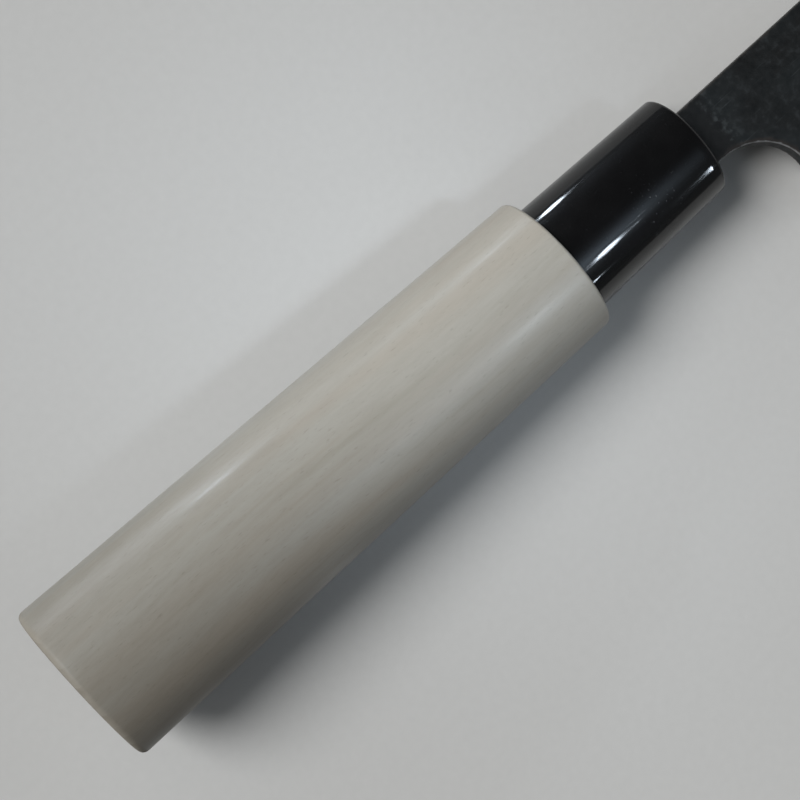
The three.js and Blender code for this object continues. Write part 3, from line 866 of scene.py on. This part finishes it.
# %% Rings and the skin over them
OVAL_SIDES = 192
ring_angles = np.arange(OVAL_SIDES) * (2 * np.pi / OVAL_SIDES)


def oval_ring(x, centre_y, height, thickness):
    return np.column_stack((
        np.full(OVAL_SIDES, x),
        centre_y + height / 2 * np.cos(ring_angles),
        thickness / 2 * np.sin(ring_angles)))


def box_ring(x, centre_y, height, thickness):
    upward = np.abs(np.cos(ring_angles)) / (height / 2)
    sideward = np.abs(np.sin(ring_angles)) / (thickness / 2)
    reach = 1 / np.maximum(upward, sideward)
    return np.column_stack((
        np.full(OVAL_SIDES, x), centre_y + reach * np.cos(ring_angles), reach * np.sin(ring_angles)))


def skin_over(rings, closed_loop):
    points = np.vstack(rings)
    sides = np.arange(OVAL_SIDES)
    beside = (sides + 1) % OVAL_SIDES
    faces = []
    for here in range(len(rings) if closed_loop else len(rings) - 1):
        there = (here + 1) % len(rings)
        faces += np.column_stack((
            here * OVAL_SIDES + sides, here * OVAL_SIDES + beside,
            there * OVAL_SIDES + beside, there * OVAL_SIDES + sides)).tolist()
    if not closed_loop:
        faces.append(sides[::-1].tolist())
        faces.append(((len(rings) - 1) * OVAL_SIDES + sides).tolist())
    return points, faces


print("each ring has", OVAL_SIDES, "points")

# %% A mesh object from points in millimetres, smooth except over sharp corners
SHARP_CORNER = np.radians(35)


def make_piece(name, points, faces, materials, face_materials=None):
    mesh = bpy.data.meshes.new(name)
    mesh.from_pydata((np.asarray(points) * MM).tolist(), [], faces)
    for material in materials:
        mesh.materials.append(material)
    if face_materials is not None:
        mesh.polygons.foreach_set("material_index", face_materials)
    mesh.polygons.foreach_set("use_smooth", [True] * len(mesh.polygons))
    mesh.set_sharp_from_angle(angle=SHARP_CORNER)
    mesh.validate()
    piece = bpy.data.objects.new(name, mesh)
    bpy.context.scene.collection.objects.link(piece)
    print(name, "has", len(mesh.vertices), "points and", len(mesh.polygons), "faces")
    return piece


def remember(piece, attribute, kind, values):
    layer = piece.data.attributes.new(attribute, kind, "POINT")
    field = "vector" if kind == "FLOAT_VECTOR" else "value"
    layer.data.foreach_set(field, np.ravel(values).astype(np.float32))


# %% Quarter circle that rounds an edge: how far along the axis and how far in
ROUNDING_STEPS = 10


def rounded_edge(length, depth):
    angles = np.linspace(0, np.pi / 2, ROUNDING_STEPS + 1)
    return list(zip(length * (1 - np.cos(angles)), depth * (1 - np.sin(angles))))


print("a rounded edge has", len(rounded_edge(1, 1)), "rings")

# %% [markdown]
# ## The wooden handle
# The underside runs parallel to the axis and only the back tapers, as the photograph shows. Hand sanding
# leaves the oval a few hundredths of a millimetre uneven, which makes the highlight waver. The grain steps
# aside a little towards the butt, so the log's own Y shifts there. Two places are burnished where the thumb
# and the heel of the hand rub. The tenon that the ferrule sits on and the socket burnt in for the tang belong
# to the same piece of wood, so they are part of the same skin.

# %% Handle: butt, sanded sides, rounded shoulder, tenon and socket in one skin
SIDE_RINGS = 70
SANDING_DEPTH = 0.07
SANDING_LENGTH, SANDING_WIDTH = 16.0, 5.0
BUTT_FACE_SHARES = (0.25, 0.5, 0.75, 0.9)
SOCKET_CLEARANCE = 0.3
SOCKET_END_X = TANG_END_X - SOCKET_CLEARANCE


def wood_height(x):
    return BUTT_HEIGHT + (FRONT_HEIGHT - BUTT_HEIGHT) * (x / WOOD_LENGTH)


def wood_middle(x):
    return BUTT_TOP_Y + (FRONT_TOP_Y - BUTT_TOP_Y) * (x / WOOD_LENGTH) - wood_height(x) / 2


def wood_ring(x, inset):
    thickness = BUTT_THICKNESS + (FRONT_THICKNESS - BUTT_THICKNESS) * (x / WOOD_LENGTH)
    return oval_ring(x, wood_middle(x), wood_height(x) - 2 * inset, thickness - 2 * inset)


butt_rim = [wood_ring(along, inset) for along, inset in rounded_edge(BUTT_EASE_LENGTH, BUTT_EASE_DEPTH)]
front_rim = [wood_ring(WOOD_LENGTH - along, inset)
             for along, inset in reversed(rounded_edge(FRONT_EDGE_RADIUS, FRONT_EDGE_RADIUS))]
butt_middle = np.array((0, wood_middle(0), 0))
butt_face = [butt_middle + share * (butt_rim[0] - butt_middle) for share in BUTT_FACE_SHARES]
sanded_sides = [wood_ring(x, 0) for x in np.linspace(
    BUTT_EASE_LENGTH, WOOD_LENGTH - FRONT_EDGE_RADIUS, SIDE_RINGS)]
outside_rings = butt_face + butt_rim[:-1] + sanded_sides + front_rim[1:]
tenon_rings = [
    oval_ring(WOOD_LENGTH, 0, TENON_HEIGHT, TENON_THICKNESS),
    oval_ring(TENON_END_X - TENON_CHAMFER, 0, TENON_HEIGHT, TENON_THICKNESS),
    oval_ring(TENON_END_X, 0, TENON_HEIGHT - 2 * TENON_CHAMFER, TENON_THICKNESS - 2 * TENON_CHAMFER),
    box_ring(TENON_END_X, NECK_CENTRE_Y, 2 * TANG_ROOT_HALF_HEIGHT + 2 * SOCKET_CLEARANCE,
             NECK_THICKNESS + 2 * SOCKET_CLEARANCE),
    box_ring(SOCKET_END_X, NECK_CENTRE_Y, 2 * TANG_END_HALF_HEIGHT + 2 * SOCKET_CLEARANCE,
             TANG_END_THICKNESS + 2 * SOCKET_CLEARANCE),
]
wood_points, wood_faces = skin_over(outside_rings + tenon_rings, closed_loop=False)
print("handle has", len(outside_rings), "rings outside and", len(tenon_rings), "on tenon and socket")

# %% Sanding takes a little off, unevenly, and never adds
outside_count = len(outside_rings) * OVAL_SIDES
for index in range(len(butt_face) * OVAL_SIDES, outside_count):
    x, y, z = wood_points[index]
    unevenness = noise.noise(Vector((x / SANDING_LENGTH, y / SANDING_WIDTH, z / SANDING_WIDTH)))
    taken = SANDING_DEPTH * (0.5 + 0.5 * unevenness)
    middle_y = wood_middle(x)
    outward = np.array((y - middle_y, z)) / np.hypot(y - middle_y, z)
    wood_points[index, 1:] -= taken * outward
handle = make_piece("wooden_handle", wood_points, wood_faces, [ho_wood])

# %% Every point remembers its place in the log and how burnished it is
GRAIN_SHIFT = 2.3
GRAIN_BEND_START_X, GRAIN_BEND_END_X = 30.0, 78.0
BURNISHED_PLACES = ((37.0, 0.44), (86.0, 0.05))
BURNISHED_LENGTH = 7.0

bend = np.clip((GRAIN_BEND_END_X - wood_points[:, 0]) / (GRAIN_BEND_END_X - GRAIN_BEND_START_X), 0, 1)
log_points = wood_points.copy()
log_points[:, 1] -= GRAIN_SHIFT * bend ** 2 * (3 - 2 * bend)
burnish_there = sum(
    share * np.exp(-((wood_points[:, 0] - x) / BURNISHED_LENGTH) ** 2) for x, share in BURNISHED_PLACES)
remember(handle, "burnish", "FLOAT", burnish_there)
remember(handle, "log_place", "FLOAT_VECTOR", log_points)
print(f"burnished by {burnish_there.max():.2f} at most")

# %% Every point remembers whether it is end grain
# End grain fades out over the last third of the butt's rounding and comes in over the front's last third
END_GRAIN_FADE = 3

butt_fade = np.clip(np.linspace(END_GRAIN_FADE, 0, ROUNDING_STEPS + 1), 0, 1).repeat(OVAL_SIDES)
front_fade = np.clip(np.linspace(1 - END_GRAIN_FADE, 1, ROUNDING_STEPS + 1), 0, 1).repeat(OVAL_SIDES)
face_count = len(butt_face) * OVAL_SIDES
is_end = np.zeros(len(wood_points))
is_end[:face_count] = 1
is_end[face_count:face_count + len(butt_fade)] = butt_fade
is_end[outside_count - len(front_fade):outside_count] = front_fade
is_end[outside_count:] = 1
remember(handle, "end_grain", "FLOAT", is_end)
print("points of end grain:", int((is_end == 1).sum()))
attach(handle, "root")
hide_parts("handle")

# %% [markdown]
# ## The ferrule
# The cap is a tapering oval with a rounded front edge. It is bored for the tenon and slotted for the neck,
# and the slot's mouth has a slightly rounded lip that catches the light.

# %% Ferrule: outside, rounded front, slot and bore in one closed skin
FERRULE_RINGS = 24
LIP_RADIUS = 0.3
LIP_STEPS = 4
REAR_EDGE_BREAK = 0.15
SLOT_REAR_X = FERRULE_FRONT_X - FERRULE_FRONT_WALL


def ferrule_ring(x, inset):
    share = (x - WOOD_LENGTH) / (FERRULE_FRONT_X - WOOD_LENGTH)
    height = FERRULE_REAR_HEIGHT + (FERRULE_FRONT_HEIGHT - FERRULE_REAR_HEIGHT) * share
    thickness = FERRULE_REAR_THICKNESS + (FERRULE_FRONT_THICKNESS - FERRULE_REAR_THICKNESS) * share
    return oval_ring(x, 0, height - 2 * inset, thickness - 2 * inset)


def slot_ring(x, widening):
    return box_ring(x, NECK_CENTRE_Y, SLOT_HEIGHT + 2 * widening, SLOT_THICKNESS + 2 * widening)


ferrule_sides = [ferrule_ring(x, 0) for x in np.linspace(
    WOOD_LENGTH + REAR_EDGE_BREAK, FERRULE_FRONT_X - FERRULE_EDGE_RADIUS, FERRULE_RINGS)]
ferrule_front = [ferrule_ring(FERRULE_FRONT_X - along, inset)
                 for along, inset in reversed(rounded_edge(FERRULE_EDGE_RADIUS, FERRULE_EDGE_RADIUS))]
lip_angles = np.linspace(0, np.pi / 2, LIP_STEPS + 1)
lip = [slot_ring(FERRULE_FRONT_X - LIP_RADIUS * (1 - np.cos(angle)), LIP_RADIUS * (1 - np.sin(angle)))
       for angle in lip_angles]
ferrule_inside = [
    slot_ring(SLOT_REAR_X, 0),
    oval_ring(SLOT_REAR_X, 0, BORE_HEIGHT, BORE_THICKNESS),
    oval_ring(WOOD_LENGTH, 0, BORE_HEIGHT, BORE_THICKNESS),
]
ferrule_points, ferrule_faces = skin_over(
    [ferrule_ring(WOOD_LENGTH, REAR_EDGE_BREAK)] + ferrule_sides + ferrule_front[1:] + lip + ferrule_inside,
    closed_loop=True)
ferrule = make_piece("black_ferrule", ferrule_points, ferrule_faces, [abs_plastic])
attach(ferrule, "root")
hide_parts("ferrule")

# %% [markdown]
# ## The blade's outline and section
# Seen on its flat the blade is an outline: tang, neck, a quarter oval under the neck, the straight choil
# down to the heel, the cutting edge, the tip and the spine. Its thickness is a height above that flat plane,
# a formula of the distance from the edge. With the outline and the height known, any point can be placed.

# %% Curves of the edge and the spine
CURVE_STEPS = 220


def curve_through(corners, steps):
    share = np.linspace(0, 1, steps + 1)[:, None]
    points = [np.array(corner, float) for corner in corners]
    while len(points) > 1:
        points = [first + (second - first) * share for first, second in zip(points, points[1:])]
    return points[0]


edge_curve = curve_through(
    [(CHIN_X, HEEL_Y), (CHIN_X + EDGE_HEEL_PULL, HEEL_Y), (TIP_X - EDGE_TIP_PULL, HEEL_Y + EDGE_TIP_RISE),
     (TIP_X, TIP_Y)], CURVE_STEPS)
spine_curve = curve_through(
    [(TIP_X, TIP_Y), (TIP_X - SPINE_CURVE_PULL, SPINE_Y), (TIP_X - SPINE_CURVE_LENGTH, SPINE_Y)],
    CURVE_STEPS // 2)
edge_lean = np.hypot(1, np.gradient(edge_curve[:, 1], edge_curve[:, 0]))
print("edge runs from", edge_curve[0], "to", edge_curve[-1])

# %% Half the blade's thickness anywhere on its flat
SHOULDER_SOFTNESS = 0.05


def thickness_at(x):
    tang = NECK_THICKNESS + (TANG_END_THICKNESS - NECK_THICKNESS) * (
        (FERRULE_FRONT_X - x) / (FERRULE_FRONT_X - TANG_END_X))
    blade = NECK_THICKNESS + (TIP_THICKNESS - NECK_THICKNESS) * (
        (x - FERRULE_FRONT_X) / (TIP_X - FERRULE_FRONT_X))
    return np.where(x < FERRULE_FRONT_X, tang, blade)


def distance_from_edge(x, y):
    edge_y = np.interp(x, edge_curve[:, 0], edge_curve[:, 1])
    return (y - edge_y) / np.interp(x, edge_curve[:, 0], edge_lean)


def half_thickness(x, y):
    flat = thickness_at(x) / 2
    away = distance_from_edge(x, y)
    up_sharpened = np.clip(away / SHARPENED_WIDTH, 0, 1)
    sharpened = CUTTING_EDGE_HALF + (SHARPENED_HALF - CUTTING_EDGE_HALF) * up_sharpened
    rise = (away - SHARPENED_WIDTH) / (BEVEL_WIDTH - SHARPENED_WIDTH)
    ground = sharpened + (flat - SHARPENED_HALF) * np.maximum(rise, 0)
    softness = np.maximum(SHOULDER_SOFTNESS - np.abs(flat - ground), 0)
    return np.minimum(flat, ground) - softness ** 2 / (4 * SHOULDER_SOFTNESS)


print("half thickness of the flat above the heel:",
      half_thickness(np.array([CHIN_X]), np.array([NECK_BOTTOM_Y])))

# %% Outline from the tang's end along the underside to the tip and back along the spine
OUTLINE_STEP = 0.8
CHIN_POINTS = 36


def straight(start, end):
    steps = max(1, int(np.ceil(np.hypot(end[0] - start[0], end[1] - start[1]) / OUTLINE_STEP)))
    return curve_through([start, end], steps)[:-1]


def lamination_distance(x):
    rise = (CORE_HALF - SHARPENED_HALF) / (thickness_at(x) / 2 - SHARPENED_HALF)
    return SHARPENED_WIDTH + rise * (BEVEL_WIDTH - SHARPENED_WIDTH)


core_shows_y = HEEL_Y + float(lamination_distance(np.array(CHIN_X)))
chin_angles = np.linspace(np.pi / 2, 0, CHIN_POINTS)
chin_arc = np.column_stack((
    CHIN_X - CHIN_LENGTH + CHIN_LENGTH * np.cos(chin_angles),
    NECK_BOTTOM_Y - CHIN_DEPTH + CHIN_DEPTH * np.sin(chin_angles)))
tang_low_end = (TANG_END_X, NECK_CENTRE_Y - TANG_END_HALF_HEIGHT + TANG_END_CHAMFER)
tang_low_corner = (TANG_END_X + TANG_END_CHAMFER, NECK_CENTRE_Y - TANG_END_HALF_HEIGHT)
tang_low_root = (SHOULDER_REAR_X, NECK_CENTRE_Y - TANG_ROOT_HALF_HEIGHT)
shoulder_low = (SHOULDER_FRONT_X, NECK_BOTTOM_Y)
shoulder_high = (SHOULDER_FRONT_X, SPINE_Y)
tang_high_root = (SHOULDER_REAR_X, NECK_CENTRE_Y + TANG_ROOT_HALF_HEIGHT)
tang_high_corner = (TANG_END_X + TANG_END_CHAMFER, NECK_CENTRE_Y + TANG_END_HALF_HEIGHT)
tang_high_end = (TANG_END_X, NECK_CENTRE_Y + TANG_END_HALF_HEIGHT - TANG_END_CHAMFER)
outline = np.vstack([
    straight(tang_low_end, tang_low_corner), straight(tang_low_corner, tang_low_root),
    straight(tang_low_root, shoulder_low), straight(shoulder_low, chin_arc[0]),
    chin_arc[:-1], straight(chin_arc[-1], (CHIN_X, core_shows_y)),
    straight((CHIN_X, core_shows_y), (CHIN_X, HEEL_Y)), edge_curve[:-1], spine_curve[:-1],
    straight(spine_curve[-1], shoulder_high), straight(shoulder_high, tang_high_root),
    straight(tang_high_root, tang_high_corner), straight(tang_high_corner, tang_high_end),
    straight(tang_high_end, tang_low_end)])
outline_half = half_thickness(outline[:, 0], outline[:, 1])
print("blade outline has", len(outline), "points")

# %% [markdown]
# ## Eased edges
# A smith draws a file or a stone along the spine and the choil, so that they don't bite the finger. The
# easing is largest where the iron is thick and fades out where only the thin core is left. Points of the
# flat near the outline are lowered along a quarter circle.

# %% Easing radius along the outline and the drop that it gives a point
EASING = 0.34
EASING_SHARE = 0.6
EASED_FROM_X = 119.0

easing = np.clip(EASING_SHARE * (outline_half - CORE_HALF), 0, EASING)
easing *= np.clip(outline[:, 0] - EASED_FROM_X, 0, 1)
outline_run = np.roll(outline, -1, axis=0) - outline
side_normals = np.column_stack((-outline_run[:, 1], outline_run[:, 0]))
side_normals /= np.linalg.norm(side_normals, axis=1)[:, None]
corner_normals = side_normals + np.roll(side_normals, 1, axis=0)
corner_normals /= np.linalg.norm(corner_normals, axis=1)[:, None]


def nearest_outline(points):
    inward = np.full(len(points), np.inf)
    radius = np.zeros(len(points))
    for start, run, here, there in zip(outline, outline_run, easing, np.roll(easing, -1)):
        if max(here, there) <= 0:
            continue
        share = np.clip(((points - start) @ run) / (run @ run), 0, 1)
        gap = np.hypot(*(points - start - share[:, None] * run).T)
        nearer = gap < inward
        inward = np.where(nearer, gap, inward)
        radius = np.where(nearer, here + (there - here) * share, radius)
    return inward, radius


print("easing is", EASING, "mm at most")

# %% [markdown]
# ## Triangulating a face of the blade
# The face needs points along its outline, along the bevel's shoulder, the sharpened edge and the lamination
# line, and an even scatter between. Blender's constrained Delaunay triangulation joins them without crossing
# those lines, which a plain grid could not do round the choil. The lamination line wanders a little, as a
# forge weld does, and the forged flat rises and falls by some hundredths of a millimetre.

# %% Lines that the triangles keep to
SCATTER_STEP = 1.1
LINE_STEP = 0.7
ROUNDING_ANGLES = np.radians((25, 50, 72, 90))
SHOULDER_ROWS = (-0.7, 0.0, 0.7)
SHARPENED_ROWS = (-0.05, 0.05)
SHOULDER_CLEARANCE, SHARPENED_CLEARANCE = 0.8, 0.6

under_side = outline[:np.argmin(np.abs(outline - (TIP_X, TIP_Y)).sum(axis=1)) + 1]
upper_side = outline[len(under_side) - 1:][::-1]


def spine_distance(x):
    top = np.interp(x, upper_side[:, 0], upper_side[:, 1])
    return distance_from_edge(x, top)


def line_along_edge(distance_at, clear):
    x = np.arange(CHIN_X + LINE_STEP, TIP_X, LINE_STEP)
    distance = distance_at(x)
    below_spine = spine_distance(x) > distance + clear
    x, distance = x[below_spine], distance[below_spine]
    edge_y = np.interp(x, edge_curve[:, 0], edge_curve[:, 1])
    return np.column_stack((x, edge_y + distance * np.interp(x, edge_curve[:, 0], edge_lean)))


core_reaches_spine = np.argmin(np.abs(half_thickness(spine_curve[:, 0], spine_curve[:, 1]) - CORE_HALF))
weld_end = spine_curve[core_reaches_spine]
print("the core reaches the spine at", weld_end)

# %% The weld between core and cladding, which wanders except at its ends
WELD_WANDER = 0.55
WELD_CALM_LENGTH = 12
WELD_WAVE, WELD_RIPPLE = 6.5, 2.1
RIPPLE_SHARE, RIPPLE_SEED = 0.5, 3


def weld_line(seed):
    def wandering(x):
        from_heel = np.clip((x - CHIN_X) / WELD_CALM_LENGTH, 0, 1)
        from_end = np.clip((weld_end[0] - x) / WELD_CALM_LENGTH, 0, 1)
        wave = np.array([noise.noise(Vector((place / WELD_WAVE, seed, 0))) for place in x])
        ripple = np.array([noise.noise(Vector((place / WELD_RIPPLE, seed, RIPPLE_SEED))) for place in x])
        return lamination_distance(x) + WELD_WANDER * (from_heel * from_end) * (wave + RIPPLE_SHARE * ripple)
    line = line_along_edge(wandering, SHOULDER_CLEARANCE)
    line = line[line[:, 0] < weld_end[0] - LINE_STEP]
    return np.vstack([(CHIN_X, core_shows_y), line, weld_end])


print("the weld wanders by up to about", WELD_WANDER, "mm")

# %% Even scatter of points between the lines
def scatter_between(points):
    known = kdtree.KDTree(len(points))
    for index, (x, y) in enumerate(points):
        known.insert((x, y, 0), index)
    known.balance()
    scattered = []
    row_step = SCATTER_STEP * np.sqrt(3) / 2
    for row, y in enumerate(np.arange(HEEL_Y, SPINE_Y, row_step)):
        for x in np.arange(TANG_END_X, TIP_X, SCATTER_STEP) + (row % 2) * SCATTER_STEP / 2:
            low_line = under_side if x < CHIN_X else edge_curve
            low = np.interp(x, low_line[:, 0], low_line[:, 1])
            high = np.interp(x, upper_side[:, 0], upper_side[:, 1])
            if low < y < high and known.find((x, y, 0))[2] > SCATTER_STEP / 2:
                scattered.append([x, y])
    return scattered


print("scattered points are", SCATTER_STEP, "mm apart")

# %% Triangles of one face
SMALLEST_EASING = 0.1
INSIDE_OUTLINE = 1
JOINED_WITHIN = 1e-6


def triangulate_face(weld):
    points, edges = [], []

    def add_line(line, closed=False):
        first = len(points)
        points.extend(line.tolist())
        count = len(line)
        edges.extend((first + step, first + step + 1) for step in range(count - 1))
        if closed:
            edges.append((first + count - 1, first))

    add_line(outline, closed=True)
    add_line(weld)
    for angle in ROUNDING_ANGLES:
        eased = outline + (easing * (1 - np.cos(angle)))[:, None] * corner_normals
        points.extend(eased[easing > SMALLEST_EASING].tolist())
    for row in SHARPENED_ROWS:
        add_line(line_along_edge(
            lambda x, row=row: np.full(len(x), SHARPENED_WIDTH + row), SHARPENED_CLEARANCE))
    for row in SHOULDER_ROWS:
        add_line(line_along_edge(
            lambda x, row=row: np.full(len(x), BEVEL_WIDTH + row), SHOULDER_CLEARANCE))
    points.extend(scatter_between(points))

    flat_points = [Vector(point) for point in points]
    corners, _, triangles, sources, _, _ = delaunay_2d_cdt(
        flat_points, edges, [], INSIDE_OUTLINE, JOINED_WITHIN)
    corners = np.array([corner[:] for corner in corners])
    triangles = np.array(triangles)
    first, second, third = (corners[triangles[:, corner]] for corner in range(3))
    turn = np.cross(second - first, third - first)
    triangles[turn < 0] = triangles[turn < 0][:, ::-1]
    where = {source: index for index, several in enumerate(sources) for source in several}
    rim = np.array([where[index] for index in range(len(outline))])
    on_weld = {where[len(outline) + index] for index in range(len(weld))}
    return corners, triangles, rim, on_weld


print("lines kept by the triangles:", 2 + len(SHARPENED_ROWS) + len(SHOULDER_ROWS))

# %% Heights of one face: forged and eased outside, and the flat weld inside
FORGE_DEPTH = 0.05
FORGE_LENGTH, FORGE_WIDTH = 11.0, 7.0
FORGED_FROM_SHOULDER, FORGED_FROM_OUTLINE = 3.0, 1.5
WELD_GAP = 0.002


def face_heights(corners, weld, on_weld, seed):
    x, y = corners.T
    outside = half_thickness(x, y)
    inward, radius = nearest_outline(corners)
    drop = np.clip(radius - inward, 0, None)
    outside -= radius - np.sqrt(np.maximum(radius ** 2 - drop ** 2, 0))
    away = distance_from_edge(x, y)
    past_shoulder = np.clip((away - BEVEL_WIDTH) / FORGED_FROM_SHOULDER, 0, 1)
    on_flat = past_shoulder * np.clip(inward / FORGED_FROM_OUTLINE, 0, 1)
    hammered = np.array([
        noise.noise(Vector((along / FORGE_LENGTH, across / FORGE_WIDTH, seed))) for along, across in corners])
    outside -= FORGE_DEPTH * on_flat * (0.5 + 0.5 * hammered)
    covered = (x <= CHIN_X) | (y > np.interp(x, weld[:, 0], weld[:, 1], right=np.inf))
    inside = np.minimum(CORE_HALF, outside - WELD_GAP)
    welded = np.isin(np.arange(len(corners)), list(on_weld))
    inside[welded] = outside[welded]
    return outside, np.where(covered & ~welded, inside, outside), away, inward


print("forged flats are uneven by", FORGE_DEPTH, "mm")

# %% [markdown]
# ## The three layers
# Each cladding is the outer face over the weld face, joined by a narrow wall along the outline. The core is
# everything between the two weld faces, and its own bevels come out below the lamination lines.

# %% Both faces of the blade
WEAR_REACH = 0.75
WORN_BELOW_Y, SPINE_WEAR = 0.0, 0.55


def blade_face(seed):
    weld = weld_line(seed)
    corners, triangles, rim, on_weld = triangulate_face(weld)
    outside, inside, away, inward = face_heights(corners, weld, on_weld, seed)
    middle_x, middle_y = corners[triangles].mean(axis=1).T
    clad = (middle_x < CHIN_X) | (middle_y > np.interp(middle_x, weld[:, 0], weld[:, 1], right=np.inf))
    wear = np.clip(1 - inward / WEAR_REACH, 0, 1) * np.where(corners[:, 1] > WORN_BELOW_Y, SPINE_WEAR, 1)
    print(f"face {seed}: {len(corners)} points, {clad.sum()} triangles of cladding, {(~clad).sum()} of core")
    return dict(corners=corners, triangles=triangles, rim=rim, on_weld=on_weld, outside=outside,
                inside=inside, away=away, wear=wear, clad=clad)


right_face, left_face = blade_face(1), blade_face(2)

# %% Cladding of one side
FACE_SLOT, WALL_SLOT = 0, 1


def make_cladding(name, face, side, node):
    corners, rim = face["corners"], face["rim"]
    outer_faces = face["triangles"][face["clad"]]
    used = np.unique(outer_faces)
    outer = {corner: index for index, corner in enumerate(used)}
    inner = {corner: outer[corner] if corner in face["on_weld"] else None for corner in used}
    points = [(*corners[corner], side * face["outside"][corner]) for corner in used]
    from_edge = list(face["away"][used])
    wear = list(face["wear"][used])
    for corner in used:
        if inner[corner] is None:
            inner[corner] = len(points)
            points.append((*corners[corner], side * face["inside"][corner]))
            from_edge.append(face["away"][corner])
            wear.append(0.0)
    faces = [[outer[corner] for corner in triangle] for triangle in outer_faces]
    face_slots = [FACE_SLOT] * len(faces)
    faces += [[inner[corner] for corner in triangle[::-1]] for triangle in outer_faces]
    half_edges = {(triangle[turn], triangle[(turn + 1) % 3]) for triangle in outer_faces for turn in range(3)}
    for here, there in zip(rim, np.roll(rim, -1)):
        if (here, there) in half_edges:
            wall = [outer[there], outer[here], inner[here], inner[there]]
            faces.append(list(dict.fromkeys(wall)))
    if side < 0:
        faces = [loop[::-1] for loop in faces]
    face_slots += [WALL_SLOT] * (len(faces) - len(face_slots))
    piece = make_piece(name, points, faces, [soft_iron, soft_iron_wall], face_slots)
    remember(piece, "from_edge", "FLOAT", from_edge)
    remember(piece, "wear", "FLOAT", wear)
    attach(piece, "root")
    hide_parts(node)


make_cladding("right_iron_cladding", right_face, 1, "blade_cladding_right")
make_cladding("left_iron_cladding", left_face, -1, "blade_cladding_left")

# %% Core between the claddings
right_count = len(right_face["corners"])
core_points = np.vstack([
    np.column_stack((right_face["corners"], right_face["inside"])),
    np.column_stack((left_face["corners"], -left_face["inside"]))])
core_faces = right_face["triangles"].tolist() + (left_face["triangles"][:, ::-1] + right_count).tolist()
core_slots = np.where(np.concatenate([right_face["clad"], left_face["clad"]]), WALL_SLOT, FACE_SLOT).tolist()
right_rim, left_rim = right_face["rim"], left_face["rim"] + right_count
for right_here, right_there, left_here, left_there in zip(
        right_rim, np.roll(right_rim, -1), left_rim, np.roll(left_rim, -1)):
    core_faces.append([int(corner) for corner in (right_there, right_here, left_here, left_there)])
    core_slots.append(WALL_SLOT)
hard_core = make_piece("hard_steel_core", core_points, core_faces, [hard_steel, soft_iron_wall], core_slots)
remember(hard_core, "from_edge", "FLOAT", np.concatenate([right_face["away"], left_face["away"]]))
remember(hard_core, "wear", "FLOAT", np.zeros(len(core_points)))
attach(hard_core, "root")
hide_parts("blade_core")
